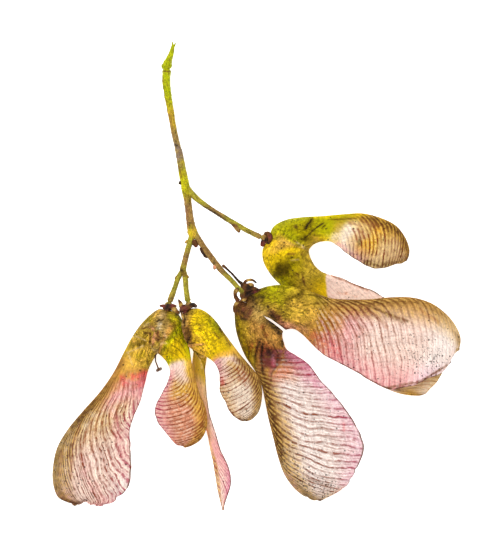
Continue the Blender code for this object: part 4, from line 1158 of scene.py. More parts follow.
class SAMARAS_OT_right(bpy.types.Operator):
    """Build the samara at the right, whose two halves have begun to part towards the notch"""
    bl_idname = "samaras.right"
    bl_label = "Right samara"

    def execute(self, context):
        seam = ((-2.6, -4.7, 5.3), (5.22, -10.3, 4.2))
        up = (0, 0, 1)
        winged_half("right_samara_side", seam, up, [
            ((-1.0, -3.4, 5.9), (5.8, -10.1, 4.0)),
            ((1.4, -2.15, 6.3), (6.6, -9.95, 3.8)),
            ((4.4, -1.75, 6.5), (7.6, -10.2, 3.6)),
            ((7.6, -2.25, 6.5), (8.9, -11.2, 3.4)),
            ((10.8, -3.2, 6.3), (10.6, -13.0, 3.1)),
            ((14.0, -4.2, 6.0), (12.8, -14.9, 2.8)),
            ((17.6, -4.45, 5.6), (15.6, -16.55, 2.7)),
            ((21.4, -4.4, 5.2), (18.8, -18.3, 2.6)),
            ((25.4, -4.0, 4.9), (22.0, -20.0, 2.6)),
            ((29.4, -4.05, 4.6), (25.0, -21.4, 2.6)),
            ((32.8, -5.0, 4.2), (27.8, -21.1, 2.6)),
            ((35.4, -6.7, 3.9), (30.2, -20.5, 2.6)),
            ((37.4, -8.9, 3.5), (32.4, -19.4, 2.7)),
            ((38.6, -11.4, 3.2), (34.6, -18.7, 2.7)),
            ((38.5, -13.4, 3.0), (36.0, -17.4, 2.8)),
            ((37.6, -14.7, 2.9), (36.7, -15.8, 2.8)),
        ], nut_end=6.4, veins=Veins(
            lag=3.2, bend=0.5, per_station=2.5, colours=("umber", "rust", "wine"),
            strength=((4.4, 0.0), (5.4, 0.9), (7.0, 1.0), (9.5, 0.75), (12.0, 0.45), (16.0, 0.4)),
            # Painted highlights between these veins are in pearl
            slant=0.8, forks=(0.6, 0.4), thick=0.1, light="pearl"), zones=[
            (0.0, "umber", "tan", "maroon"),
            (1.2, "leaf", "olive", "maroon"),
            (2.4, "lime", "olive", "salmon"),
            (4.0, "olive", "gold", "ochre"),
            (5.2, "olive", "gold", "ochre"),
            (6.0, "ochre", "ochre", "salmon"),
            (7.0, "ochre", "rose", "rose"),
            (8.6, "ochre", "blush", "rose"),
            (10.5, "ochre", "blush", "rose"),
            (13.0, "straw", "pearl", "petal"),
            (16.0, "straw", "pearl", "pearl"),
        ], marks=[
            Mark(((1.5, -3.2), (4.9, -4.4)), 1.0, "lime", 0.6),
            Mark(((-0.8, -4.0), (0.8, -3.9)), 0.65, "ink", 0.85),
            Mark(((-0.4, -5.2), (2.2, -6.8)), 0.8, "tan", 0.8, 0.1),
            Mark(((3.0, -6.6), (4.6, -8.2)), 0.9, "maroon", 1.0),
            Mark(((3.2, -6.9), (3.9, -7.5)), 0.6, "umber", 0.9),
            Mark(((2.6, -6.9), (3.2, -7.7)), 0.3, "ink", 0.8),
            Mark(((4.6, -8.6), (6.4, -9.0)), 0.6, "salmon", 0.7),
            Mark(((5.6, -3.9), (7.4, -3.4), (8.6, -2.9)), 0.34, "moss", 0.95, -0.2),
            Mark(((8.0, -3.0), (10.5, -3.4), (13.5, -4.2)), 0.18, "moss", 0.85, -0.12),
            Mark(((9.0, -5.0), (13.5, -4.9)), 0.18, "moss", 0.8, -0.1),
            Mark(((8.0, -9.3), (12.5, -8.8)), 1.1, "ochre", 0.7),
            Mark(((12.9, -11.2), (14.2, -13.8)), 0.8, "rose", 0.8),
            # A dark line along the slit, partly the seam's dark edge and partly painted shade in the gap
            Mark(((3.3, -8.3), (5.5, -10.2)), 0.26, "ink", 1.0),
            Mark(((2.0, -5.2),), 0.2, "ink", 0.9, -0.1),
            Mark(((2.0, -5.95),), 0.2, "ink", 0.9, -0.1),
            Mark(((2.6, -6.2),), 0.2, "ink", 0.9, -0.1),
            Mark(((6.2, -5.6), (9.0, -6.4)), 0.8, "olive", 0.8),
            Mark(((11.0, -11.0), (13.6, -12.4), (15.6, -14.6)), 0.9, "crimson", 0.5),
            Mark(((6.0, -8.6), (9.6, -9.6)), 0.7, "salmon", 0.6),
            Mark(((14.0, -5.2), (22.0, -5.0), (28.0, -5.2)), 0.6, "umber", 0.3),
            Mark(((16.0, -5.6), (19.0, -8.0), (20.6, -11.0)), 0.35, "rust", 0.45),
            Mark(((19.5, -5.6), (23.0, -7.6), (24.5, -9.6)), 0.35, "rust", 0.45),
            Mark(((24.0, -6.8), (27.5, -8.6)), 0.4, "umber", 0.5),
            Mark(((31.0, -6.2), (34.4, -8.6)), 0.4, "rust", 0.5),
            Mark(((17.0, -5.8), (21.0, -7.4)), 0.5, "rust", 0.5),
            Mark(((21.0, -5.6), (25.0, -7.2), (28.6, -8.5)), 0.22, "umber", 0.8),
            Mark(((12.2, -8.2), (13.6, -10.4), (14.2, -13.0)), 0.2, "wine", 0.6),
            Mark(((13.6, -8.0), (15.2, -10.4), (15.6, -13.4)), 0.16, "rust", 0.6),
            Mark(((31.0, -5.8), (36.5, -9.5)), 0.6, "straw", 0.6),
            Mark(((24.5, -21.3), (31.0, -20.0), (36.0, -17.0)), 0.25, "umber", 0.8),
        ], slant=0.6, seed=71, speckle=0.04, slit=0.28, notches=((15.3, 0.9, 0.3),),
            specks=((((31.0, -15.0), (34.0, -17.0)), 3.0, 0.6), (((6.0, -5.0), (13.0, -6.5)), 1.4, 0.35)))
        winged_half("right_samara_low", seam, up, [
            ((-4.1, -5.6, 4.6), (4.9, -10.8, 3.7)),
            ((-4.2, -7.7, 3.9), (4.9, -11.7, 3.3)),
            ((-3.95, -10.2, 3.2), (5.2, -12.7, 3.1)),
            ((-3.2, -12.8, 2.7), (5.7, -13.9, 3.0)),
            ((-2.05, -15.4, 2.6), (7.4, -15.0, 3.1)),
            ((-0.4, -17.9, 2.6), (9.9, -16.8, 2.9)),
            ((0.8, -20.4, 2.5), (12.0, -19.5, 2.7)),
            ((1.5, -23.4, 2.3), (14.3, -22.0, 2.4)),
            ((2.2, -27.0, 2.0), (16.8, -25.2, 2.1)),
            ((3.1, -30.6, 1.7), (18.9, -28.4, 1.7)),
            ((4.0, -34.2, 1.3), (20.3, -32.0, 1.3)),
            ((5.1, -37.4, 0.9), (19.6, -35.2, 1.0)),
            ((6.9, -40.1, 0.6), (18.6, -37.6, 0.7)),
            ((9.1, -41.9, 0.45), (17.2, -39.8, 0.5)),
            ((11.0, -42.7, 0.4), (15.0, -41.3, 0.4)),
            ((12.0, -42.8, 0.4), (13.2, -42.2, 0.4)),
        ], nut_end=6.3, veins=Veins(
            lag=-1.9, lag_growth=0.58, bend=0.45, hook=0.1, per_station=3.5,
            colours=("umber", "rust", "wine"), strength=((4.5, 0.0), (5.0, 1.0), (16.0, 1.0)),
            # Painted highlights between these veins are in pearl
            slant=2.2, forks=(0.6, 0.4), thick=0.13, light="pearl"), zones=[
            (0.0, "umber", "tan", "umber"),
            (1.0, "leaf", "ochre", "ochre"),
            (2.6, "leaf", "ochre", "ochre"),
            (4.2, "leaf", "rust", "ochre"),
            (4.7, "leaf", "maroon", "orchid"),
            (5.4, "ochre", "maroon", "orchid"),
            (6.2, "umber", "salmon", "orchid"),
            (7.4, "ochre", "pearl", "petal"),
            (9.0, "ochre", "pearl", "petal"),
            (11.5, "straw", "pearl", "petal"),
            (13.5, "straw", "pearl", "petal"),
            (16.0, "salmon", "straw", "straw"),
        ], marks=[
            Mark(((-3.6, -6.2), (-1.6, -6.8)), 0.9, "maroon", 1.0),
            Mark(((-3.2, -6.3), (-2.0, -6.7)), 0.5, "ink", 0.6),
            Mark(((-2.2, -8.4), (-1.6, -11.6)), 1.1, "olive", 0.8),
            Mark(((-3.9, -8.4), (-3.2, -12.0), (-2.0, -15.4)), 0.35, "moss", 0.8),
            Mark(((-2.8, -7.5), (-2.0, -7.4)), 0.35, "ink", 0.9, -0.1),
            Mark(((1.0, -9.0), (3.6, -11.5)), 1.4, "ochre", 0.6),
            Mark(((1.2, -8.6), (1.8, -10.8)), 0.35, "rust", 0.8),
            Mark(((0.8, -11.6), (-0.2, -15.0), (-0.5, -16.9), (0.1, -18.8)), 0.2, "ink", 0.9, -0.3),
            Mark(((1.3, -12.4), (0.9, -15.6), (1.1, -18.1), (1.4, -20.0)), 0.2, "ink", 0.9, -0.3),
            Mark(((0.6, -13.0), (0.3, -15.6), (0.6, -18.0)), 0.2, "ochre", 0.8, 0.2),
            Mark(((-1.4, -13.0), (-1.5, -15.6), (-0.9, -17.3)), 0.16, "ink", 0.8, -0.2),
            Mark(((-0.2, -12.0), (-0.8, -15.6), (-0.4, -17.8)), 0.36, "olive", 1.0, 0.2),
            Mark(((0.3, -18.4), (0.9, -20.6)), 0.25, "gold", 0.9, 0.1),
            Mark(((2.6, -13.8), (3.0, -16.8)), 0.95, "maroon", 0.9),
            Mark(((1.2, -12.6), (0.9, -15.6), (1.2, -18.4)), 0.14, "ink", 0.9),
            Mark(((3.1, -15.0), (3.4, -16.6)), 0.4, "orchid", 0.6),
            Mark(((2.0, -13.6), (2.7, -15.0)), 0.4, "ink", 0.8, -0.1),
            Mark(((3.2, -12.6), (4.2, -14.8), (3.8, -16.6)), 0.14, "ink", 0.7, -0.1),
            Mark(((2.9, -16.2), (3.3, -17.2)), 0.45, "wine", 0.7),
            Mark(((1.9, -17.8), (1.9, -19.0)), 0.4, "gold", 0.9),
            Mark(((4.9, -12.0), (5.2, -14.4), (4.6, -16.9), (3.2, -18.4)), 0.3, "ochre", 0.9, 0.2),
            Mark(((4.0, -16.8), (2.8, -18.4), (2.7, -20.2)), 0.16, "ink", 0.8, -0.1),
            Mark(((4.95, -12.0), (4.95, -13.1)), 0.2, "ink", 0.9),
            Mark(((1.4, -19.0), (2.8, -26.0), (4.6, -34.0)), 0.75, "umber", 0.9),
            Mark(((1.9, -21.5), (3.2, -28.0), (4.8, -35.0)), 0.2, "ink", 0.6),
            Mark(((0.9, -18.6), (1.4, -21.0), (1.9, -24.0)), 0.2, "gold", 0.9),
            Mark(((7.6, -16.2), (11.2, -20.0)), 1.4, "orchid", 0.6),
            Mark(((7.6, -16.4), (10.0, -17.0)), 0.2, "wine", 0.7),
            Mark(((7.2, -17.5), (10.8, -18.1)), 0.2, "wine", 0.7),
            Mark(((7.4, -18.7), (11.4, -19.4)), 0.2, "wine", 0.6),
            Mark(((16.5, -28.0), (16.6, -29.2)), 0.3, "crimson", 0.5),
            # A dark line along the slit, partly the seam's dark edge and partly painted shade in the gap
            Mark(((1.7, -8.1), (4.8, -10.7)), 0.28, "ink", 1.0),
            Mark(((-0.8, -6.6), (1.0, -8.0)), 0.7, "tan", 0.7, 0.1),
            Mark(((18.4, -31.2),), 0.25, "maroon", 0.7),
            Mark(((9.0, -39.5), (13.0, -40.5)), 1.3, "umber", 0.12),
            Mark(((10.2, -38.6), (13.2, -39.8)), 0.4, "umber", 0.4),
            Mark(((5.5, -37.3), (8.0, -40.8)), 0.5, "rose", 0.6),
        ], slant=0.8, seed=83, speckle=0.04, slit=0.28, calm=((((2.2, -14.5), (2.4, -17.4)), 1.9, 1.0),),
            notches=((12.6, 0.25, 0.15), (13.4, 0.3, 0.15), (14.3, 0.35, 0.15)),
            bites=((((9.4, -42.4),), (0.15, 0.3), 0.4), (((11.4, -43.1),), (0.0, 0.35), 0.45)),
            specks=((((9.8, -38.6), (13.6, -40.2)), 2.0, 1.0), (((6.0, -34.0), (9.0, -38.0)), 2.0, 0.4)))
        return {"FINISHED"}


class SAMARAS_OT_stalk(bpy.types.Operator):
    """Build the branched stalk, from its torn stub to the four fruit stems"""
    bl_idname = "samaras.stalk"
    bl_label = "Stalk"

    def execute(self, context):
        green = ("sprout", "sprout")
        stems = [
            Limb(((-15.85, 44.0, 0.8, 0.3, 0.3), (-16.1, 42.7, 0.9, 0.45, 0.45),
                  (-16.6, 41.3, 1.0, 0.6, 0.55), (-16.95, 40.2, 1.15, 0.9, 0.85),
                  (-17.0, 39.3, 1.15, 0.95, 0.9)), green),
            Limb(((-15.95, 43.6, 0.8, 0.2, 0.2), (-16.0, 44.5, 0.8, 0.12, 0.12)), green),
            Limb(((-15.7, 43.6, 0.8, 0.2, 0.2), (-15.4, 44.3, 0.8, 0.12, 0.12)), green),
            Limb(((-16.9, 40.4, 1.15, 0.8, 0.8), (-17.1, 39.8, 1.15, 1.2, 1.1),
                  (-17.05, 39.1, 1.15, 1.08, 1.05)), green),
            Limb(((-17.0, 39.5, 1.15, 0.9, 0.9), (-17.2, 37.2, 1.1, 0.78, 0.78),
                  (-16.9, 34.4, 1.0, 0.7, 0.66), (-16.2, 30.4, 1.0, 0.62, 0.6),
                  (-15.4, 26.2, 1.2, 0.6, 0.58), (-14.7, 23.2, 1.5, 0.68, 0.62),
                  (-14.15, 20.1, 1.7, 0.74, 0.7), (-13.5, 16.9, 2.0, 0.82, 0.76),
                  (-13.0, 13.7, 2.3, 0.7, 0.68), (-12.65, 10.6, 2.6, 0.74, 0.7),
                  (-12.2, 8.3, 2.8, 0.95, 0.8), (-12.0, 6.9, 2.8, 0.6, 0.55)),
                 ("sprout", "sprout", "sprout", "olive", "olive", "olive", "lime", "lime", "bark",
                  "bark", "olive", "olive")),
            Limb(((-13.4, 17.0, 2.1, 0.55, 0.5), (-12.0, 15.3, 2.2, 0.58, 0.52),
                  (-10.4, 13.9, 2.3, 0.5, 0.48), (-8.0, 12.3, 2.4, 0.46, 0.45),
                  (-4.7, 10.3, 2.5, 0.52, 0.48), (-2.2, 8.85, 2.6, 0.46, 0.45),
                  (0.9, 7.3, 2.7, 0.52, 0.5)),
                 ("reed", "reed", "reed", "bark", "reed", "reed", "bark")),
            Limb(((-12.1, 8.2, 2.8, 0.65, 0.6), (-12.9, 5.6, 2.8, 0.58, 0.56),
                  (-13.5, 3.4, 2.9, 0.55, 0.55), (-14.0, 1.2, 3.0, 0.62, 0.58),
                  (-14.1, 0.2, 3.1, 0.5, 0.5)), ("reed", "reed", "bark", "reed", "reed")),
            Limb(((-13.9, 1.4, 3.0, 0.45, 0.45), (-14.8, -0.2, 3.1, 0.52, 0.5),
                  (-15.6, -2.4, 3.2, 0.5, 0.48), (-16.55, -5.0, 3.1, 0.62, 0.6)),
                 ("reed", "reed", "reed", "bark")),
            Limb(((-13.9, 1.4, 3.0, 0.45, 0.45), (-13.55, -0.4, 3.4, 0.52, 0.5),
                  (-13.4, -2.4, 3.9, 0.5, 0.48), (-13.0, -4.95, 4.6, 0.6, 0.56)),
                 ("reed", "reed", "reed", "reed")),
            Limb(((-12.0, 8.6, 2.8, 0.6, 0.55), (-11.0, 6.9, 2.9, 0.58, 0.56),
                  (-9.2, 4.3, 3.3, 0.56, 0.55), (-7.0, 1.4, 4.0, 0.55, 0.52),
                  (-5.2, -0.35, 4.6, 0.48, 0.46), (-3.6, -2.1, 5.0, 0.46, 0.45),
                  (-2.6, -3.1, 5.2, 0.52, 0.48)),
                 ("reed", "bark", "bark", "bark", "reed", "reed", "reed")),
            Limb(((-14.1, 17.8, 2.0, 0.4, 0.35), (-14.5, 17.7, 2.1, 0.36, 0.32),
                  (-14.85, 17.5, 2.1, 0.2, 0.2)), ("umber", "ink"), 0.2),
            Limb(((-4.7, 10.1, 2.6, 0.4, 0.3), (-4.0, 9.4, 2.8, 0.5, 0.25), (-3.5, 8.7, 2.7, 0.4, 0.2),
                  (-3.3, 8.2, 2.5, 0.15, 0.1)), ("bark", "bark", "umber"), 0.2),
            Limb(((-12.8, 6.6, 2.8, 0.35, 0.3), (-13.3, 6.5, 2.8, 0.28, 0.25),
                  (-13.65, 6.2, 2.8, 0.12, 0.1)), ("olive", "bark"), 0.2),
            Limb(((-12.1, 6.9, 2.9, 0.42, 0.4), (-11.7, 6.1, 3.0, 0.5, 0.4),
                  (-11.3, 5.5, 2.8, 0.3, 0.25)), ("umber", "umber", "maroon"), 0.3),
            Limb(((-10.6, 5.5, 3.2, 0.3, 0.3), (-10.2, 4.7, 3.1, 0.45, 0.4),
                  (-9.6, 3.9, 3.0, 0.42, 0.35), (-9.3, 3.4, 2.9, 0.2, 0.2)),
                 ("umber", "ink", "umber"), 0.3),
            Limb(((-7.5, 2.2, 3.9, 0.45, 0.4), (-7.9, 1.7, 3.9, 0.4, 0.3),
                  (-8.1, 1.2, 3.7, 0.15, 0.12)), ("bark", "salmon", "bark"), 0.2),
            Limb(((-14.7, 0.0, 3.1, 0.4, 0.35), (-15.2, -0.4, 3.1, 0.32, 0.28),
                  (-15.5, -0.8, 3.1, 0.12, 0.1)), ("olive", "umber"), 0.2),
            Limb(((-13.6, 0.1, 3.4, 0.4, 0.35), (-13.1, -0.2, 3.4, 0.28, 0.22),
                  (-12.85, -0.4, 3.4, 0.1, 0.1)), ("olive", "umber"), 0.2),
        ]
        put_limbs("stalk", stems, stem_material("stalk_skin", streaks=0.65, gloss=0.1), [
            Mark(((-18.1, 38.85), (-16.0, 38.85)), 0.12, "umber", 0.9),
            Mark(((-17.9, 37.2), (-17.5, 34.4), (-16.8, 30.4), (-16.0, 26.2)), 0.2, "umber", 0.4),
            Mark(((-16.5, 30.4), (-16.3, 29.0)), 0.25, "umber", 0.5),
            Mark(((-15.4, 24.9), (-14.6, 22.6)), 1.8, "ash", 1.0),
            Mark(((-15.8, 25.0), (-15.0, 24.7)), 0.15, "ink", 0.8),
            Mark(((-14.7, 20.8), (-14.2, 18.6)), 0.25, "umber", 0.7),
            Mark(((-12.2, 14.6), (-12.0, 12.6)), 0.22, "ink", 0.6),
            Mark(((-13.4, 13.0), (-13.0, 9.5)), 0.3, "maroon", 0.45),
            Mark(((-11.2, 13.8), (-8.4, 12.2), (-6.0, 10.7)), 0.2, "ink", 0.75),
            Mark(((-5.2, 10.0), (-4.2, 9.6)), 0.4, "umber", 0.75),
            Mark(((-2.6, 8.6), (0.0, 7.9)), 0.3, "bark", 0.6),
            Mark(((-12.6, 9.4), (-12.4, 7.2)), 0.3, "lime", 0.6),
            Mark(((-9.9, 5.3), (-8.6, 3.7)), 0.3, "umber", 0.5),
            Mark(((-14.2, 1.4), (-13.7, 0.2)), 0.4, "umber", 0.7),
            Mark(((-16.4, 28.6), (-15.3, 25.6)), 0.5, "bark", 0.6),
        ], seed=101)
        return {"FINISHED"}


class SAMARAS_OT_dried(bpy.types.Operator):
    """Build the dried calyces, the withered flower and the dried style"""
    bl_idname = "samaras.dried"
    bl_label = "Calyces, flower and style"

    def execute(self, context):
        skin = stem_material("dried_skin", streaks=0.5, gloss=0.0)
        pieces = {
            "upper_calyx": [
                Limb(((0.7, 7.35, 2.75, 0.5, 0.5), (1.3, 7.25, 2.8, 0.7, 0.7),
                      (2.2, 7.1, 2.8, 1.0, 0.8)), ("reed", "bark", "umber"), 0.15),
                Limb(((1.4, 8.05, 3.0, 0.25, 0.2), (2.1, 8.05, 3.5, 0.4, 0.28),
                      (2.6, 7.45, 3.8, 0.42, 0.3), (2.55, 6.7, 3.8, 0.42, 0.3),
                      (2.1, 6.05, 3.4, 0.3, 0.2)), ("umber", "umber", "maroon", "umber", "ink"), 0.2),
                Limb(((1.2, 6.9, 3.2, 0.45, 0.3), (1.15, 6.2, 3.2, 0.48, 0.25),
                      (0.95, 5.6, 2.8, 0.34, 0.15)), ("ink", "maroon", "maroon"), 0.2),
                Limb(((1.9, 7.4, 3.4, 0.3, 0.25), (1.8, 6.8, 3.6, 0.36, 0.25),
                      (1.6, 6.2, 3.4, 0.28, 0.2)), ("umber", "ink", "maroon"), 0.2),
                Limb(((1.4, 6.9, 2.2, 0.4, 0.25), (2.0, 6.3, 1.7, 0.35, 0.2),
                      (2.3, 5.9, 1.5, 0.2, 0.12)), ("ink", "umber"), 0.2),
            ],
            "left_calyx": [
                Limb(((-16.5, -4.8, 3.1, 0.55, 0.55), (-16.7, -5.6, 3.1, 0.8, 0.65),
                      (-16.8, -6.6, 3.1, 1.5, 0.9)), ("reed", "bark", "umber"), 0.15),
                Limb(((-18.45, -5.65, 3.6, 0.2, 0.16), (-17.7, -5.65, 4.0, 0.36, 0.26),
                      (-16.8, -5.8, 4.2, 0.4, 0.32), (-15.9, -5.7, 4.1, 0.36, 0.26),
                      (-15.25, -5.95, 3.9, 0.28, 0.16)),
                     ("umber", "maroon", "ink", "maroon", "umber"), 0.25),
                Limb(((-16.9, -5.8, 3.9, 0.45, 0.3), (-16.95, -6.3, 4.2, 0.42, 0.25),
                      (-17.0, -6.7, 4.4, 0.25, 0.15)), ("ink", "ink", "umber"), 0.2),
                Limb(((-16.2, -5.9, 3.9, 0.35, 0.25), (-15.6, -6.3, 4.3, 0.4, 0.2),
                      (-15.0, -6.8, 4.5, 0.3, 0.15), (-14.6, -7.2, 4.5, 0.14, 0.1)),
                     ("umber", "tan", "umber", "umber"), 0.2),
            ],
            "middle_calyx": [
                Limb(((-13.0, -4.75, 4.6, 0.58, 0.55), (-12.9, -5.4, 4.7, 0.75, 0.7),
                      (-12.7, -6.1, 4.8, 1.3, 0.9)), ("reed", "bark", "umber"), 0.15),
                Limb(((-14.3, -6.3, 5.2, 0.3, 0.2), (-13.5, -6.15, 5.6, 0.42, 0.3),
                      (-12.8, -5.85, 6.0, 0.36, 0.3), (-12.0, -5.5, 6.1, 0.4, 0.28),
                      (-11.25, -5.8, 5.9, 0.28, 0.16)),
                     ("umber", "maroon", "umber", "ink", "ash"), 0.25),
                Limb(((-13.4, -5.6, 5.0, 0.4, 0.3), (-14.1, -6.1, 5.2, 0.42, 0.25),
                      (-14.3, -7.0, 5.2, 0.3, 0.15)), ("umber", "maroon", "ink"), 0.2),
                Limb(((-14.2, -6.3, 5.0, 0.25, 0.2), (-14.35, -5.5, 5.2, 0.44, 0.16),
                      (-14.55, -4.95, 5.3, 0.34, 0.13), (-14.84, -4.4, 5.3, 0.08, 0.06)),
                     ("umber", "tan", "umber", "umber"), 0.15),
                Limb(((-14.2, -6.8, 5.3, 0.26, 0.2), (-13.98, -7.7, 5.7, 0.24, 0.15),
                      (-13.75, -8.6, 5.9, 0.16, 0.1)), ("umber", "tan", "umber"), 0.2),
                Limb(((-13.6, -6.2, 5.0, 0.4, 0.3), (-13.5, -7.0, 5.2, 0.36, 0.25),
                      (-13.4, -8.2, 5.2, 0.28, 0.2), (-13.2, -9.6, 4.7, 0.14, 0.12)),
                     ("umber", "maroon", "umber", "umber"), 0.25),
            ],
            "right_calyx": [
                Limb(((-2.9, -2.8, 5.1, 0.6, 0.5), (-2.4, -3.5, 5.2, 0.95, 0.6),
                      (-2.0, -4.2, 5.2, 0.95, 0.6)), ("reed", "umber", "ink"), 0.15),
                Limb(((-3.15, -4.95, 5.6, 0.28, 0.22), (-2.25, -4.1, 6.1, 0.34, 0.28),
                      (-1.4, -3.4, 6.5, 0.36, 0.28), (-0.3, -2.9, 6.8, 0.32, 0.22),
                      (0.8, -2.5, 7.0, 0.16, 0.12)), ("umber", "umber", "ink", "maroon", "umber"), 0.2),
                Limb(((-3.0, -4.6, 5.9, 0.2, 0.14), (-2.4, -4.5, 6.3, 0.28, 0.14),
                      (-1.8, -4.2, 6.5, 0.16, 0.1)), ("umber", "tan", "umber"), 0.15),
                Limb(((-2.4, -3.1, 6.0, 0.3, 0.2), (-1.6, -2.95, 6.3, 0.34, 0.2),
                      (-0.7, -2.7, 6.5, 0.3, 0.16)), ("umber", "ink", "umber"), 0.15),
                Limb(((-3.5, -2.35, 5.3, 0.2, 0.14), (-3.85, -2.75, 5.5, 0.42, 0.16),
                      (-4.1, -3.5, 5.4, 0.38, 0.16), (-3.85, -4.25, 5.3, 0.38, 0.2),
                      (-3.4, -4.8, 5.2, 0.4, 0.25)), ("umber", "tan", "umber", "umber", "maroon"), 0.2),
                Limb(((-3.2, -4.7, 5.2, 0.4, 0.3), (-3.85, -5.3, 5.0, 0.48, 0.25),
                      (-4.15, -6.1, 4.7, 0.36, 0.18), (-4.3, -6.95, 4.3, 0.12, 0.1)),
                     ("umber", "tan", "umber", "maroon"), 0.2),
            ],
            "withered_flower": [
                Limb(((-6.5, 2.1, 4.5, 0.3, 0.28), (-5.6, 1.3, 5.0, 0.22, 0.22),
                      (-4.65, 0.4, 5.7, 0.2, 0.2), (-3.6, -0.8, 6.6, 0.23, 0.22),
                      (-2.8, -1.5, 7.1, 0.36, 0.32)), ("umber", "ink", "ink", "ink"), 0.15),
                Limb(((-3.0, -1.35, 7.0, 0.3, 0.3), (-2.4, -1.8, 7.3, 0.6, 0.6),
                      (-1.7, -2.1, 7.5, 0.78, 0.68), (-0.9, -2.25, 7.5, 0.52, 0.45),
                      (-0.2, -2.4, 7.4, 0.26, 0.24), (0.4, -2.55, 7.3, 0.1, 0.1)),
                     ("ink", "umber", "ink", "umber", "ink"), 0.3),
                Limb(((-2.4, -1.5, 7.4, 0.2, 0.16), (-2.2, -1.1, 7.7, 0.26, 0.14),
                      (-1.75, -0.8, 7.9, 0.26, 0.12), (-1.15, -0.72, 7.9, 0.25, 0.12),
                      (-0.65, -0.85, 7.8, 0.2, 0.1), (-0.3, -1.1, 7.7, 0.18, 0.1),
                      (-0.02, -1.35, 7.6, 0.12, 0.08)),
                     ("ink", "umber", "tan", "umber", "ink", "ink"), 0.15),
                Limb(((-1.9, -1.9, 8.0, 0.3, 0.16), (-1.1, -1.6, 8.1, 0.3, 0.12),
                      (-0.5, -1.9, 8.0, 0.14, 0.1)), ("umber", "tan", "umber"), 0.2),
            ],
            "style_remnant": [
                Limb(((-19.1, -14.4, 3.4, 0.16, 0.16), (-19.2, -15.4, 3.3, 0.14, 0.14),
                      (-19.15, -16.2, 3.2, 0.12, 0.12), (-18.85, -17.0, 3.2, 0.14, 0.14),
                      (-18.65, -17.6, 3.2, 0.2, 0.18)), ("umber", "ink", "umber", "ash"), 0.1),
                Limb(((-19.05, -18.1, 3.2, 0.2, 0.18), (-18.8, -17.9, 3.2, 0.32, 0.26),
                      (-18.5, -17.7, 3.2, 0.26, 0.22), (-18.2, -17.55, 3.2, 0.3, 0.24),
                      (-17.95, -17.4, 3.1, 0.16, 0.14)), ("ink", "ash", "umber", "ash", "ink"), 0.3),
            ],
        }
        for number, (node, limbs) in enumerate(pieces.items()):
            put_limbs(node, limbs, skin, around=20, step=0.06, seed=200 + 50 * number)
        return {"FINISHED"}


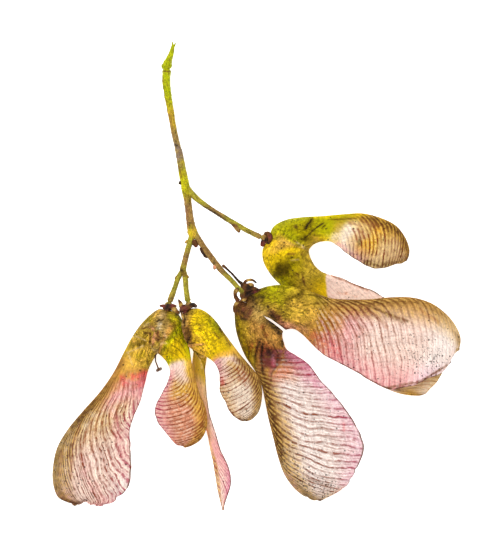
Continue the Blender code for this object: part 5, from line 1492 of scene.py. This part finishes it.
class SAMARAS_OT_studio(bpy.types.Operator):
    """Set up the pale surface, the soft lights and the camera straight above the cluster"""
    bl_idname = "samaras.studio"
    bl_label = "Surface, lights and camera"

    def execute(self, context):
        looks = context.scene.studio_looks
        scene = context.scene
        scene.view_settings.view_transform = "Standard"

        floor_reach = 600.0
        key_size = 260.0
        key_place = (-160.0, 150.0, 380.0)
        corners = floor_reach * np.array([(-1, -1, 0), (1, -1, 0), (1, 1, 0), (-1, 1, 0)])
        mesh = bpy.data.meshes.new("floor")
        mesh.from_pydata((corners * MM).tolist(), [], [(0, 1, 2, 3)])
        g = Graph("floor_paper")
        g.shader.inputs["Base Color"].default_value = (*linear(np.array(looks.floor)), 1.0)
        g.shader.inputs["Roughness"].default_value = 0.9
        g.shader.inputs["Emission Color"].default_value = (1.0, 1.0, 1.0, 1.0)
        g.shader.inputs["Emission Strength"].default_value = looks.glow
        mesh.materials.append(g.material)
        floor = bpy.data.objects.new("floor", mesh)
        scene.collection.objects.link(floor)

        world = bpy.data.worlds.new("studio_air")
        world.use_nodes = True
        world.node_tree.nodes["Background"].inputs["Color"].default_value = (1.0, 1.0, 1.0, 1.0)
        world.node_tree.nodes["Background"].inputs["Strength"].default_value = looks.fill_strength
        scene.world = world

        light = bpy.data.lights.new("key", "AREA")
        light.shape = "DISK"
        light.size = key_size * MM
        light.energy = looks.key_power
        key = bpy.data.objects.new("key", light)
        key.location = [value * MM for value in key_place]
        key.rotation_mode = "QUATERNION"
        key.rotation_quaternion = key.location.to_track_quat("Z", "Y")
        scene.collection.objects.link(key)

        lens = bpy.data.cameras.new("camera")
        lens.sensor_width = 36.0
        seen = max(PHOTO_SIZE) * MM_PER_PIXEL
        lens.lens = lens.sensor_width * looks.camera_height / MM / seen
        lens.clip_end = 10.0
        camera = bpy.data.objects.new("camera", lens)
        camera.location = (PHOTO_CENTRE[0] * MM, PHOTO_CENTRE[1] * MM, looks.camera_height)
        scene.collection.objects.link(camera)
        scene.camera = camera
        return {"FINISHED"}


OPERATORS = (SAMARAS_OT_upper, SAMARAS_OT_left, SAMARAS_OT_middle, SAMARAS_OT_right, SAMARAS_OT_stalk,
             SAMARAS_OT_dried, SAMARAS_OT_studio)


class SAMARAS_PT_panel(bpy.types.Panel):
    """Lists the cluster's pieces in the sidebar, in the order in which they are built"""
    bl_idname = "SAMARAS_PT_panel"
    bl_label = "Maple samaras"
    bl_space_type = "VIEW_3D"
    bl_region_type = "UI"
    bl_category = "Samaras"

    def draw(self, context):
        for operator in OPERATORS:
            self.layout.operator(operator.bl_idname)
        for settings in (context.scene.samara_sizes, context.scene.samara_palette,
                         context.scene.studio_looks):
            for name in settings.bl_rna.properties.keys():
                if name not in ("rna_type", "name"):
                    self.layout.prop(settings, name)


GROUPS = (SamaraSizes, SamaraPalette, StudioLooks)


def register():
    """Register the settings, the operators and the panel."""
    for made in GROUPS + OPERATORS + (SAMARAS_PT_panel,):
        bpy.utils.register_class(made)
    bpy.types.Scene.samara_sizes = bpy.props.PointerProperty(type=SamaraSizes)
    bpy.types.Scene.samara_palette = bpy.props.PointerProperty(type=SamaraPalette)
    bpy.types.Scene.studio_looks = bpy.props.PointerProperty(type=StudioLooks)


def unregister():
    """Undo what register does, in the opposite order."""
    del bpy.types.Scene.studio_looks
    del bpy.types.Scene.samara_palette
    del bpy.types.Scene.samara_sizes
    for made in reversed(GROUPS + OPERATORS + (SAMARAS_PT_panel,)):
        bpy.utils.unregister_class(made)


def main():
    """Build every piece, then the studio."""
    register()
    bpy.ops.samaras.upper()
    bpy.ops.samaras.left()
    bpy.ops.samaras.middle()
    bpy.ops.samaras.right()
    bpy.ops.samaras.stalk()
    bpy.ops.samaras.dried()
    bpy.ops.samaras.studio()
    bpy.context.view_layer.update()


if __name__ == "__main__":
    main()
